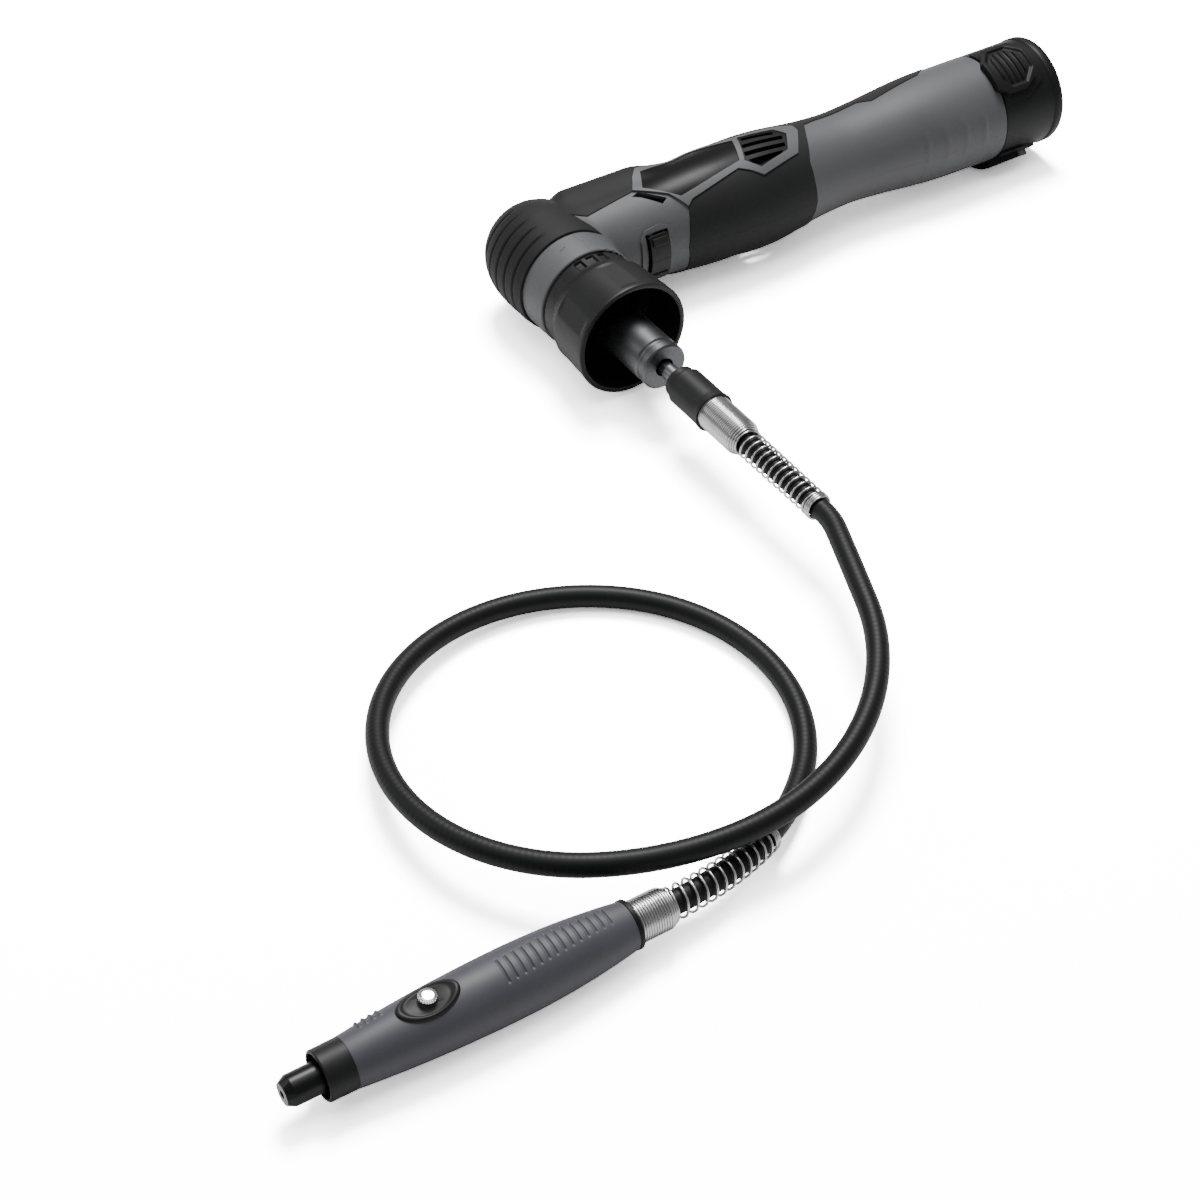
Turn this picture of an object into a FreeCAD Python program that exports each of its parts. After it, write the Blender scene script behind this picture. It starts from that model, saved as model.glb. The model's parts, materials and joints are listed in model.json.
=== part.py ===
import FreeCAD, Part

import math
import os

import Sketcher

# Cordless right-angle rotary tool with a flexible shaft and a pencil handpiece.
#
# Millimetres, +Z up. The tool lies on its side: its barrel runs along +X to the battery and its
# output spindle points along -Y. The origin is on the floor below the middle of the whole set.

Vector = FreeCAD.Vector
Rotation = FreeCAD.Rotation

SIZES = {
    # where the tool stands in the set
    "layout_x": 19.1,
    "layout_y": 173.4,
    "axis_height": 32.0,
    # running fits and shell thickness
    "running_gap": 0.05,
    "assembly_gap": 0.15,
    "shell_wall": 2.4,
    # barrel of the housing, radii along its axis
    "neck_radius": 24.8,
    "neck_end": 60.0,
    "swell_end": 147.0,
    "swell_bend": 284.0,
    "waist_end": 195.0,
    "waist_bend": 190.0,
    "grip_start": 240.0,
    "grip_bend": 350.0,
    "grip_radius": 28.0,
    "grip_end": 262.0,
    # rubber pads let into the barrel
    "pad_start": 66.0,
    "pad_end": 141.0,
    "pad_edge_radius": 25.7,
    "pad_depth": 1.2,
    "pad_proud": 0.25,
    "hump_start": 29.0,
    "hump_radius": 30.2,
    # badge plate on each cheek of the barrel
    "badge_start": 60.0,
    "badge_end": 110.0,
    "badge_width": 22.0,
    "badge_depth": 1.0,
    # head of the housing, around the spindle axis
    "head_radius": 26.0,
    "head_front": 35.0,
    "cover_start": 2.0,
    "cover_end": 33.0,
    "cover_radius": 28.0,
    "cover_wall": 2.5,
    "cover_bend": 42.0,
    "cover_shoulder": 17.5,
    "spigot_end": 8.0,
    # guard cup
    "cup_back": 35.2,
    "cup_rim": 74.0,
    "cup_rim_radius": 29.3,
    "cup_wall": 2.6,
    "cup_shoulder": 46.0,
    "cup_neck_radius": 25.3,
    # gear train: straight bevel pair, module is the tooth size at the heel
    "gear_module": 1.0,
    "pinion_teeth": 16.0,
    "ring_teeth": 32.0,
    "tooth_depth": 1.7,
    "face_share": 0.7,
    # spindle and shaft adapter
    "spindle_radius": 5.0,
    "nose_end": 45.0,
    "adapter_back": 35.0,
    "adapter_face": 100.5,
    "adapter_radius": 11.8,
    "adapter_mouth": 4.7,
    "socket_flats": 6.5,
    "shank_flats": 6.35,
    # motor
    "motor_front": 62.0,
    "motor_end": 112.0,
    "motor_radius": 18.5,
    "rotor_radius": 14.6,
    "shaft_radius": 2.5,
    # trigger
    "trigger_x": 47.3,
    "trigger_length": 10.6,
    "trigger_width": 24.0,
    "trigger_proud": 3.2,
    # battery
    "battery_front": 187.0,
    "battery_stem": 21.0,
    "battery_end": 300.0,
    "cap_depth": 5.4,
    "cell_radius": 9.1,
    "cell_length": 65.0,
    "latch_centre": 273.0,
    "latch_length": 27.0,
    "latch_width": 25.0,
    "latch_top": 32.0,
    "latch_lean": 20.0,
    # flexible shaft
    "sleeve_front": 112.5,
    "sleeve_end": 141.0,
    "sleeve_radius": 9.5,
    "spring_wire": 1.1,
    "close_radius": 8.8,
    "open_radius": 6.6,
    "close_length": 25.0,
    "open_length": 57.0,
    "sheath_radius": 5.0,
    "sheath_bore": 3.3,
    "core_radius": 2.6,
    "lead_radius": 40.0,
    "lead_turn": 20.5,
    "straight_run": 45.5,
    "sweep_radius": 117.6,
    "sweep_turn": 101.5,
    "loop_radius": 87.0,
    "loop_turn": 283.6,
    "return_radius": 129.0,
    "return_turn": 44.4,
    "crossing_height": 25.2,
    "rest_height": 5.3,
    # handpiece
    "hand_height": 14.0,
    "hand_coil": 18.0,
    "hand_tail_radius": 9.8,
    "hand_waist": 52.0,
    "hand_radius": 13.85,
    "hand_seam": 120.0,
    "hand_nose_radius": 10.3,
    "hand_tail_bend": 336.0,
    "hand_front_bend": 653.0,
    "hand_wall": 2.0,
    "collar_end": 131.5,
    "tip_end": 146.0,
    "tip_radius": 6.15,
    "bit_radius": 1.6,
    "bit_depth": 22.0,
    "bezel_centre": 86.0,
    "bezel_length": 25.0,
    "bezel_width": 14.0,
}

doc = FreeCAD.newDocument("rotary_tool")
sheet = doc.addObject("Spreadsheet::Sheet", "Sizes")
parts = []


def fill_sheet(cells):
    """Writes each size to the sheet as a plain number with its name as the alias."""
    for row, (name, value) in enumerate(cells.items(), start=1):
        sheet.set(f"A{row}", name)
        sheet.set(f"B{row}", str(value))
        sheet.setAlias(f"B{row}", name)
    doc.recompute()


class Size:
    """A length that is held both as a number and as the sheet expression that gives it."""

    def __init__(self, value, text=None):
        self.value = float(value)
        self.text = text or f"({value})"

    @staticmethod
    def of(item):
        return item if isinstance(item, Size) else Size(item)

    def _with(self, other, sign, value):
        return Size(value, f"({self.text} {sign} {other.text})")

    def __add__(self, other):
        other = Size.of(other)
        return self._with(other, "+", self.value + other.value)

    def __sub__(self, other):
        other = Size.of(other)
        return self._with(other, "-", self.value - other.value)

    def __mul__(self, other):
        other = Size.of(other)
        return self._with(other, "*", self.value * other.value)

    def __truediv__(self, other):
        other = Size.of(other)
        return self._with(other, "/", self.value / other.value)

    def __neg__(self):
        return Size(-self.value, f"(-1 * {self.text})")

    def __radd__(self, other):
        return Size.of(other) + self

    def __rsub__(self, other):
        return Size.of(other) - self

    def __rmul__(self, other):
        return self * other


class Names:
    """Gives mm.alias as a Size bound to the sheet."""

    def __getattr__(self, name):
        return Size(SIZES[name], f"Sizes.{name}")


mm = Names()


# Building blocks: bodies, bound sketches, and the features made from them.


def bind(item, field, length):
    """Sets a property, or a part of a placement, to a size through an expression."""
    item.setExpression(field, Size.of(length).text)


def place(item, base, lean=None):
    """Puts an item at base, three sizes, and turns it about X by lean degrees."""
    if lean is not None:
        item.Placement = FreeCAD.Placement(Vector(), Rotation(Vector(1, 0, 0), lean))
    for axis, length in zip("xyz", base):
        bind(item, f"Placement.Base.{axis}", length)


def tool_frame():
    """The crossing of the barrel's axis and the spindle's axis."""
    return (mm.layout_x, mm.layout_y, mm.axis_height)


def hand_frame():
    """The middle of the handpiece's rear face; its tip points along -X."""
    return (mm.layout_x + mm.hand_x, mm.layout_y + mm.hand_y, mm.hand_height)


def new_body(label, frame, lean=None):
    body = doc.addObject("PartDesign::Body", label)
    body.Label = label
    place(body, frame, lean)
    parts.append(body)
    return body


def sketch_on(body, role, lift=0):
    """An empty sketch on one of the body's own origin planes, lifted along its normal."""
    sketch = body.newObject("Sketcher::SketchObject", f"{body.Name}_sketch")
    plane = next(item for item in body.Origin.OriginFeatures if item.Role == role)
    sketch.AttachmentSupport = [(plane, "")]
    sketch.MapMode = "FlatFace"
    bind(sketch, "AttachmentOffset.Base.z", lift)
    return sketch


def arc_between(start, end, radius):
    """An arc from start to end. A positive radius turns left, a negative one turns right."""
    chord = end - start
    side = 1 if radius > 0 else -1
    left = Vector(-chord.y, chord.x, 0).normalize()
    rise = math.sqrt(radius * radius - chord.Length**2 / 4)
    centre = (start + end) / 2 + left * rise * side
    angles = [math.atan2(p.y - centre.y, p.x - centre.x) for p in (start, end)]
    circle = Part.Circle(centre, Vector(0, 0, 1), abs(radius))
    return Part.ArcOfCircle(circle, *angles[::side])


def hold_point(sketch, edge, vertex, x, y):
    """Binds one end of an edge to the coordinates x and y."""
    for kind, length, axis in (("DistanceX", x, -2), ("DistanceY", y, -1)):
        length = Size.of(length)
        if abs(length.value) < 1e-9:
            sketch.addConstraint(Sketcher.Constraint("PointOnObject", edge, vertex, axis))
            continue
        rule = Sketcher.Constraint(kind, -1, 1, edge, vertex, length.value)
        number = sketch.addConstraint(rule)
        bind(sketch, f"Constraints[{number}]", length)


def outline(sketch, corners):
    """Closes a loop through (x, y) corners. A third value is the bend of the edge that leaves it."""
    points = [Vector(Size.of(c[0]).value, Size.of(c[1]).value, 0) for c in corners]
    first = len(sketch.Geometry)
    count = len(corners)
    bends = [Size.of(c[2]) if len(c) > 2 else None for c in corners]
    for i, bend in enumerate(bends):
        start, end = points[i], points[(i + 1) % count]
        if bend is None:
            sketch.addGeometry(Part.LineSegment(start, end), False)
        else:
            sketch.addGeometry(arc_between(start, end, bend.value), False)
    # a right-hand arc is stored backwards, so its first vertex is the edge's end
    heads = [2 if bend and bend.value < 0 else 1 for bend in bends]
    for i, corner in enumerate(corners):
        before = (i - 1) % count
        rule = ("Coincident", first + before, 3 - heads[before], first + i, heads[i])
        sketch.addConstraint(Sketcher.Constraint(*rule))
        hold_point(sketch, first + i, heads[i], corner[0], corner[1])
    for i, bend in enumerate(bends):
        if bend is not None:
            size = bend if bend.value > 0 else -bend
            number = sketch.addConstraint(Sketcher.Constraint("Radius", first + i, size.value))
            bind(sketch, f"Constraints[{number}]", size)
    return sketch


def checked(body, feature, cuts):
    """Recomputes, and stops if the feature failed, cut nothing or added nothing."""
    before = body.Shape.Volume if body.Tip and body.Shape and not body.Shape.isNull() else 0
    body.Tip = feature
    doc.recompute()
    after = body.Shape.Volume
    if "Invalid" in feature.State or "Error" in feature.State:
        raise RuntimeError(f"{body.Label}: {feature.Name} failed")
    if cuts and after > before - 0.01 or not cuts and after < before + 0.01:
        raise RuntimeError(f"{body.Label}: {feature.Name} changed {before:.2f} to {after:.2f}")
    return feature


def revolve(body, sketch, axis, angle=360.0, reverse=False, cut=False):
    """Turns a sketch about its own horizontal or vertical axis, to add or to cut."""
    kind = "PartDesign::Groove" if cut else "PartDesign::Revolution"
    feature = body.newObject(kind, f"{body.Name}_turn")
    feature.Profile = sketch
    feature.ReferenceAxis = (sketch, [axis])
    feature.Angle = angle
    feature.Reversed = reverse
    return checked(body, feature, cut)


def extrude(body, sketch, length, both=False, reverse=False, cut=False):
    """Pads or pockets a sketch by a length, on one side or on both."""
    kind = "PartDesign::Pocket" if cut else "PartDesign::Pad"
    feature = body.newObject(kind, f"{body.Name}_extrude")
    feature.Profile = sketch
    bind(feature, "Length", length)
    feature.Midplane = both
    feature.Reversed = reverse
    return checked(body, feature, cut)


def block(body, low, high, cut=False):
    """Adds or cuts a box between two corners."""
    kind = "PartDesign::SubtractiveBox" if cut else "PartDesign::AdditiveBox"
    feature = body.newObject(kind, f"{body.Name}_block")
    for field, start, end in zip(("Length", "Width", "Height"), low, high):
        bind(feature, field, Size.of(end) - Size.of(start))
    place(feature, low)
    return checked(body, feature, cut)


def rod(body, axis, base, radius, length, cut=False):
    """Adds or cuts a cylinder that runs from base along +X, +Y, -Y, +Z or -Z."""
    kind = "PartDesign::SubtractiveCylinder" if cut else "PartDesign::AdditiveCylinder"
    feature = body.newObject(kind, f"{body.Name}_rod")
    bind(feature, "Radius", radius)
    bind(feature, "Height", length)
    sign = -1 if axis[0] == "-" else 1
    way = Vector(*(sign * (name == axis[-1]) for name in "xyz"))
    feature.Placement = FreeCAD.Placement(Vector(), Rotation(Vector(0, 0, 1), way))
    for name, value in zip("xyz", base):
        bind(feature, f"Placement.Base.{name}", value)
    return checked(body, feature, cut)


def turned_x(label, frame, corners):
    """A piece turned about the X axis from (x, radius) corners."""
    body = new_body(label, frame)
    revolve(body, outline(sketch_on(body, "XY_Plane"), corners), "H_Axis")
    return body


def turned_y(label, frame, corners):
    """A piece turned about the Y axis from (radius, y) corners."""
    body = new_body(label, frame)
    revolve(body, outline(sketch_on(body, "XY_Plane"), corners), "V_Axis")
    return body


def ring_y(label, frame, bore, outer, start, end):
    return turned_y(label, frame, [(bore, start), (outer, start), (outer, end), (bore, end)])


def ring_x(label, frame, bore, outer, start, end):
    return turned_x(label, frame, [(start, bore), (end, bore), (end, outer), (start, outer)])


def shaped(label, frame, shape):
    """A piece whose shape comes from Part's own functions."""
    item = doc.addObject("Part::Feature", label)
    item.Label = label
    item.Shape = shape
    place(item, frame)
    parts.append(item)
    return item


# Route of the flexible shaft in plan, as arcs that all turn the same way, seen from the coupling.


def shaft_route():
    """Points along the middle of the shaft, from the drive spring's end to the handpiece's coil."""
    turns = [
        (SIZES["lead_radius"], SIZES["lead_turn"]),
        (None, SIZES["straight_run"]),
        (SIZES["sweep_radius"], SIZES["sweep_turn"]),
        (SIZES["loop_radius"], SIZES["loop_turn"]),
        (SIZES["return_radius"], SIZES["return_turn"]),
    ]
    start_y = SIZES["sleeve_end"] + SIZES["close_length"] + SIZES["open_length"]
    point = Vector(0, -start_y, 0)
    heading = -math.pi / 2
    run = 0.0
    route = [(run, point)]
    for radius, amount in turns:
        if radius is None:
            run += amount
            point = point + Vector(math.cos(heading), math.sin(heading), 0) * amount
            route.append((run, point))
            continue
        centre = point + Vector(math.sin(heading), -math.cos(heading), 0) * radius
        steps = max(2, round(amount / STEP_ANGLE))
        for step in range(1, steps + 1):
            left = heading - math.radians(amount * step / steps)
            point = centre + Vector(-math.sin(left), math.cos(left), 0) * radius
            route.append((run + radius * math.radians(amount * step / steps), point))
        heading -= math.radians(amount)
        run = route[-1][0]
    return [Vector(p.x, p.y, shaft_height(s / run)) for s, p in route]


def shaft_height(share):
    """Height of the shaft's middle at a share of its route: it drops, crosses itself and lies down."""
    levels = [
        (0.0, SIZES["axis_height"]),
        (CROSSING_SHARE, SIZES["crossing_height"]),
        (LANDING_SHARE, SIZES["rest_height"]),
        (LIFTING_SHARE, SIZES["rest_height"]),
        (1.0, SIZES["hand_height"]),
    ]
    for (start, low), (end, high) in zip(levels, levels[1:]):
        if share <= end:
            ease = (share - start) / (end - start)
            return low + (high - low) * ease * ease * (3 - 2 * ease)
    return levels[-1][1]


STEP_ANGLE = 17.0
CROSSING_SHARE = 0.26
LANDING_SHARE = 0.70
LIFTING_SHARE = 0.86

ROUTE = shaft_route()
SIZES["hand_x"] = round(ROUTE[-1].x - SIZES["hand_coil"], 3)
SIZES["hand_y"] = round(ROUTE[-1].y, 3)
fill_sheet(SIZES)


# Housing: two half shells that meet on the plane of the barrel's and the spindle's axes.


def barrel_skin(inset, start=0):
    """Half outline of the barrel, from its axis to its skin less inset."""
    edge = mm.neck_radius - inset
    return [
        (start, 0),
        (mm.grip_end, 0),
        (mm.grip_end, mm.grip_radius - inset),
        (mm.grip_start, mm.grip_radius - inset, mm.grip_bend),
        (mm.waist_end, edge, -mm.waist_bend),
        (mm.swell_end, edge, mm.swell_bend),
        (mm.neck_end, edge),
        (start, edge),
    ]


def cover_skin(grow, start, inside=0):
    """Half outline of the domed head cover, round the spindle's axis."""
    shoulder_y = mm.cover_end - 2.5
    return [
        (inside, start),
        (mm.cover_radius + grow, start),
        (mm.cover_radius + grow, mm.cover_start + 2, mm.cover_bend),
        (mm.cover_shoulder + grow, shoulder_y + grow, mm.cover_bend * 2),
        (4, mm.cover_end + grow),
        (0, mm.cover_end + grow),
    ]


def pad_strip(side, low, high):
    """Outline of a strip on the swollen part of the barrel; side is 1 on the +Y flank."""
    inner = (mm.pad_edge_radius + low) * side
    outer = (mm.pad_edge_radius + high) * side
    bend = mm.swell_bend * -side
    return [
        (mm.pad_start, inner, bend),
        (mm.pad_end, inner),
        (mm.pad_end, outer, -bend),
        (mm.pad_start, outer),
    ]


def latch_outline(sketch, grow):
    """Elongated hexagon of a battery latch, seen from outside."""
    half_length = mm.latch_length / 2 + grow
    half_width = mm.latch_width / 2 + grow
    corners = [(-1, -0.5), (0, -1), (1, -0.5), (1, 0.5), (0, 1), (-1, 0.5)]
    points = [(mm.latch_centre + half_length * x, half_width * y) for x, y in corners]
    return outline(sketch, points)


def latch_sketch(body, lean, grow):
    """A latch outline on a plane through the barrel's axis, leaned about it."""
    sketch = sketch_on(body, "XY_Plane")
    turn = Rotation(Vector(1, 0, 0), lean)
    sketch.AttachmentOffset = FreeCAD.Placement(Vector(), turn)
    return latch_outline(sketch, grow)


BOSSES = [(42, 17, 13), (118, 20, 17), (118, -20, 17), (154, 16.5, 14), (154, -16.5, 14)]


def housing_blank(label, up):
    """One half shell, before the badge recess. up is True for the +Z half."""
    body = new_body(label, tool_frame())
    z_way = "z" if up else "-z"
    z_sign = 1 if up else -1
    revolve(body, outline(sketch_on(body, "XY_Plane"), barrel_skin(0)), "H_Axis", 180, not up)
    dome = outline(sketch_on(body, "XY_Plane"), cover_skin(mm.assembly_gap, mm.cover_start))
    revolve(body, dome, "V_Axis", cut=True)
    spigot = mm.cover_radius - mm.cover_wall - mm.assembly_gap
    head = [
        (0, -mm.head_front),
        (mm.head_radius, -mm.head_front),
        (mm.head_radius, mm.cover_start),
        (spigot, mm.cover_start),
        (spigot, mm.cover_start + 2),
        (spigot - 0.6, mm.spigot_end),
        (0, mm.spigot_end),
    ]
    revolve(body, outline(sketch_on(body, "XY_Plane"), head), "V_Axis", 180, up)
    guard = mm.neck_radius + 1.6
    low_x = mm.trigger_x - mm.trigger_length * 0.9
    high_x = mm.trigger_x + mm.trigger_length * 0.9
    surround = [(low_x, -guard + 3), (high_x, -guard + 3), (high_x, -guard), (low_x, -guard)]
    revolve(body, outline(sketch_on(body, "XY_Plane"), surround), "H_Axis", 36, up)
    inner = barrel_skin(mm.shell_wall)
    revolve(body, outline(sketch_on(body, "XY_Plane"), inner), "H_Axis", 180, not up, cut=True)
    bore = mm.head_radius - mm.shell_wall
    hollow = [
        (0, -mm.head_front),
        (bore, -mm.head_front),
        (bore, mm.spigot_end),
        (0, mm.spigot_end),
    ]
    revolve(body, outline(sketch_on(body, "XY_Plane"), hollow), "V_Axis", 180, up, cut=True)
    add_motor_rib(body, mm.motor_front + 4, 24, up)
    add_motor_rib(body, mm.motor_end - 8, 26.5, up)
    for x, y, length in BOSSES:
        rod(body, z_way, (x, y, 0), 3.4, length)
        hole = 1.25 if up else 1.6
        rod(body, z_way, (x, y, 0), hole, 9 if up else 30, cut=True)
        if not up:
            rod(body, z_way, (x, y, -10), 3.0, 20, cut=True)
    flank = outline(sketch_on(body, "XY_Plane"), pad_strip(-1, -mm.pad_depth, 2))
    revolve(body, flank, "H_Axis", PAD_ANGLE, up, cut=True)
    spine = outline(sketch_on(body, "XY_Plane"), pad_strip(1, -mm.pad_depth, 2))
    revolve(body, spine, "H_Axis", SPINE_ANGLE, not up, cut=True)
    half = mm.trigger_length / 2 + mm.assembly_gap
    reach = mm.trigger_width / 2 + mm.assembly_gap
    low_z, high_z = (0, reach) if up else (-reach, 0)
    block(body, (mm.trigger_x - half, -30, low_z), (mm.trigger_x + half, -18, high_z), cut=True)
    extrude(body, latch_sketch(body, latch_lean(up), 0.4), 40, reverse=True, cut=True)
    add_vents(body, z_sign)
    return body


def add_motor_rib(body, x, outer, up):
    """A half ring inside the shell that grips the motor can and runs out into the shell's wall."""
    grip = mm.motor_radius + mm.running_gap
    rib = [(x, grip), (x + 2, grip), (x + 2, outer), (x, outer)]
    revolve(body, outline(sketch_on(body, "XY_Plane"), rib), "H_Axis", 180, not up)


def add_vents(body, z_sign):
    """Four louvre slots through one cheek of the shell."""
    depth = 14 if z_sign > 0 else -32
    slot = body.newObject("PartDesign::SubtractiveBox", f"{body.Name}_vent")
    slot.Length = 20
    slot.Width = 2.2
    slot.Height = 18
    slot.Placement.Base = Vector(114, -12, depth)
    checked(body, slot, True)
    row = body.newObject("PartDesign::LinearPattern", f"{body.Name}_vents")
    row.Originals = [slot]
    axis = next(item for item in body.Origin.OriginFeatures if item.Role == "Y_Axis")
    row.Direction = (axis, [""])
    row.Length = 13.5
    row.Occurrences = 4
    checked(body, row, True)


def latch_lean(up):
    """Lean of a latch about the barrel's axis, from straight up."""
    return SIZES["latch_lean"] if up else 180 - SIZES["latch_lean"]


PAD_ANGLE = 46
SPINE_ANGLE = 60


def badge_shape(label, up, grow, export):
    """A curved elongated hexagon that follows the barrel's skin; grow widens it into a recess."""
    body = doc.addObject("PartDesign::Body", label)
    place(body, tool_frame())
    if export:
        body.Label = label
        parts.append(body)
    half = mm.badge_width / 2 + grow
    start, end = mm.badge_start - grow, mm.badge_end + grow
    corners = [
        (start, 0),
        (start + 9, -half),
        (end - 9, -half),
        (end, 0),
        (end - 9, half),
        (start + 9, half),
    ]
    sketch = outline(sketch_on(body, "XY_Plane"), corners)
    extrude(body, sketch, 40, reverse=not up)
    core = barrel_skin(mm.badge_depth + grow)
    revolve(body, outline(sketch_on(body, "XY_Plane"), core), "H_Axis", cut=True)
    outer = mm.neck_radius + 0.1 + grow * 4
    far = mm.neck_radius + 40
    rest = [
        (mm.neck_end - 10, outer),
        (mm.neck_end, outer, -mm.swell_bend),
        (mm.swell_end, outer),
        (mm.swell_end, far),
        (mm.neck_end - 10, far),
    ]
    revolve(body, outline(sketch_on(body, "XY_Plane"), rest), "H_Axis", cut=True)
    return body


def housing_half(label, up):
    """A half shell with its badge recess."""
    blank = housing_blank(f"{label}_blank", up)
    parts.remove(blank)
    recess = badge_shape(f"{label}_recess", up, mm.running_gap, export=False)
    cut = doc.addObject("Part::Cut", label)
    cut.Label = label
    cut.Base = blank
    cut.Tool = recess
    parts.append(cut)


def head_cover():
    """The domed rubber cover over the back of the head, open towards the barrel."""
    body = new_body("head_cover", tool_frame())
    skin = outline(sketch_on(body, "XY_Plane"), cover_skin(0, mm.cover_start))
    revolve(body, skin, "V_Axis")
    core = outline(sketch_on(body, "XY_Plane"), cover_skin(-mm.cover_wall, mm.cover_start))
    revolve(body, core, "V_Axis", cut=True)
    rod(body, "x", (10, 3, 0), 14, 30, cut=True)
    for y in (8, 13, 18, 23):
        rib_groove(body, y)


def rib_groove(body, y):
    """One shallow ring groove round the cover, at a height y on its dome."""
    low = Vector(SIZES["cover_radius"], SIZES["cover_start"] + 2, 0)
    high = Vector(SIZES["cover_shoulder"], SIZES["cover_end"] - 2.5, 0)
    bend = SIZES["cover_bend"]
    centre = arc_between(low, high, bend).Center
    floor = centre.x + math.sqrt(bend**2 - (y - centre.y) ** 2) - 0.6
    edge = [(floor, y), (floor + 3, y), (floor + 3, y + 1.2), (floor, y + 1.2)]
    revolve(body, outline(sketch_on(body, "XY_Plane"), edge), "V_Axis", cut=True)


def side_pad(label, up):
    """Rubber pad on the spindle side of one half of the barrel."""
    body = new_body(label, tool_frame())
    gap = mm.running_gap
    strip = outline(sketch_on(body, "XY_Plane"), pad_strip(-1, gap - mm.pad_depth, mm.pad_proud))
    revolve(body, strip, "H_Axis", PAD_ANGLE - 0.3, up)


def spine_pad(label, up):
    """Rubber pad on the back of one half of the barrel, with its hump behind the head."""
    body = new_body(label, tool_frame())
    low = mm.neck_radius + mm.running_gap
    gap = mm.running_gap
    strip = outline(sketch_on(body, "XY_Plane"), pad_strip(1, gap - mm.pad_depth, mm.pad_proud))
    revolve(body, strip, "H_Axis", SPINE_ANGLE - 0.3, not up)
    hump = [
        (mm.hump_start, low),
        (mm.neck_end, low + gap),
        (mm.pad_start + 1, mm.pad_edge_radius + gap * 6),
        (mm.pad_start + 12, mm.pad_edge_radius + 1.4),
        (mm.neck_end, mm.hump_radius),
        (mm.hump_start + 4, mm.hump_radius),
    ]
    revolve(body, outline(sketch_on(body, "XY_Plane"), hump), "H_Axis", SPINE_ANGLE - 0.3, not up)


def guard_cup():
    """Round guard in front of the head, open at its rim."""
    inner = mm.cup_rim_radius - mm.cup_wall
    neck = mm.cup_neck_radius
    floor = mm.cup_back + 3
    return turned_y("guard_cup", tool_frame(), [
        (17.2, -mm.cup_back),
        (neck - 1, -mm.cup_back),
        (neck, -mm.cup_back - 1.5),
        (neck, -mm.cup_shoulder + 2),
        (neck + 2.5, -mm.cup_shoulder - 2.5),
        (mm.cup_rim_radius, -mm.cup_rim),
        (inner, -mm.cup_rim),
        (inner - 1.2, -mm.cup_shoulder - 4),
        (neck - 2.8, -mm.cup_shoulder + 1),
        (neck - 2.8, -floor),
        (17.2, -floor),
    ])


# Gear head.


def gear_case():
    """Metal case round the bevel gears, with a seat for each bearing and a neck to the motor."""
    body = turned_y("gear_case", tool_frame(), [
        (6.6, -33.5),
        (12.5, -33.5),
        (12.5, -37),
        (17, -37),
        (17, -26.15),
        (23.4, -26.0),
        (23.4, -23),
        (21.4, -22),
        (21.4, 15.9),
        (19.2, 15.9),
        (19.2, -15),
        (14.05, -15),
        (14.05, -25),
        (6.6, -25),
    ])
    rod(body, "x", (17, 0, 0), 12, 18)
    rod(body, "x", (15, 0, 0), 10.0, 9.2, cut=True)
    rod(body, "x", (24, 0, 0), 8.05, 12, cut=True)
    return body


def gear_case_cover():
    """Back cover of the gear case, with the rear bearing's seat."""
    return turned_y("gear_case_cover", tool_frame(), [
        (3.4, 25.5),
        (3.4, 23.6),
        (9.55, 23.6),
        (9.55, 17.5),
        (19.0, 17.5),
        (19.0, 16.0),
        (21.2, 16.0),
        (21.2, 18.6),
        (12, 20),
        (12, 25.5),
    ])


def spindle():
    """Output spindle: rear journal, gear seat, front journal and threaded nose."""
    r = mm.spindle_radius
    return turned_y("spindle", tool_frame(), [
        (0, -mm.nose_end),
        (r - 0.6, -mm.nose_end),
        (r, -mm.nose_end + 0.6),
        (r, -31),
        (6, -30),
        (6, -16),
        (8, -16),
        (8, -14),
        (r, -14),
        (r, 17.4),
        (3, 17.4),
        (3, 24.5),
        (0, 24.5),
    ])


def bearing(label, frame, turn, bore, outer, start, end):
    """A shielded ball bearing as one ring with a shallow groove in each face."""
    rim = (outer - bore) * 0.28
    inner, out = bore + rim, outer - rim
    corners = [
        (bore, start), (inner, start), (inner, start + 0.4), (out, start + 0.4), (out, start),
        (outer, start), (outer, end), (out, end), (out, end - 0.4), (inner, end - 0.4),
        (inner, end), (bore, end),
    ]
    if turn is turned_x:
        corners = [corner[::-1] for corner in corners]
    return turn(label, frame, corners)


def bearings():
    gap = mm.running_gap
    tool = tool_frame()
    bearing("spindle_bearing_front", tool, turned_y, 6 + gap, 14, -24.5, -16.6)
    bearing("spindle_bearing_rear", tool, turned_y, 3 + gap, 9.5, 17.6, 23.6)
    shaft = mm.shaft_radius + gap
    bearing("pinion_bearing", tool, turned_x, shaft, 8, 25, 30)
    front = mm.motor_front + 0.5
    bearing("motor_bearing_front", tool, turned_x, shaft, 6.5, front, front + 4)
    bearing("motor_bearing_rear", tool, turned_x, shaft, 6.5, mm.motor_end - 4.5, mm.motor_end - 0.5)


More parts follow.
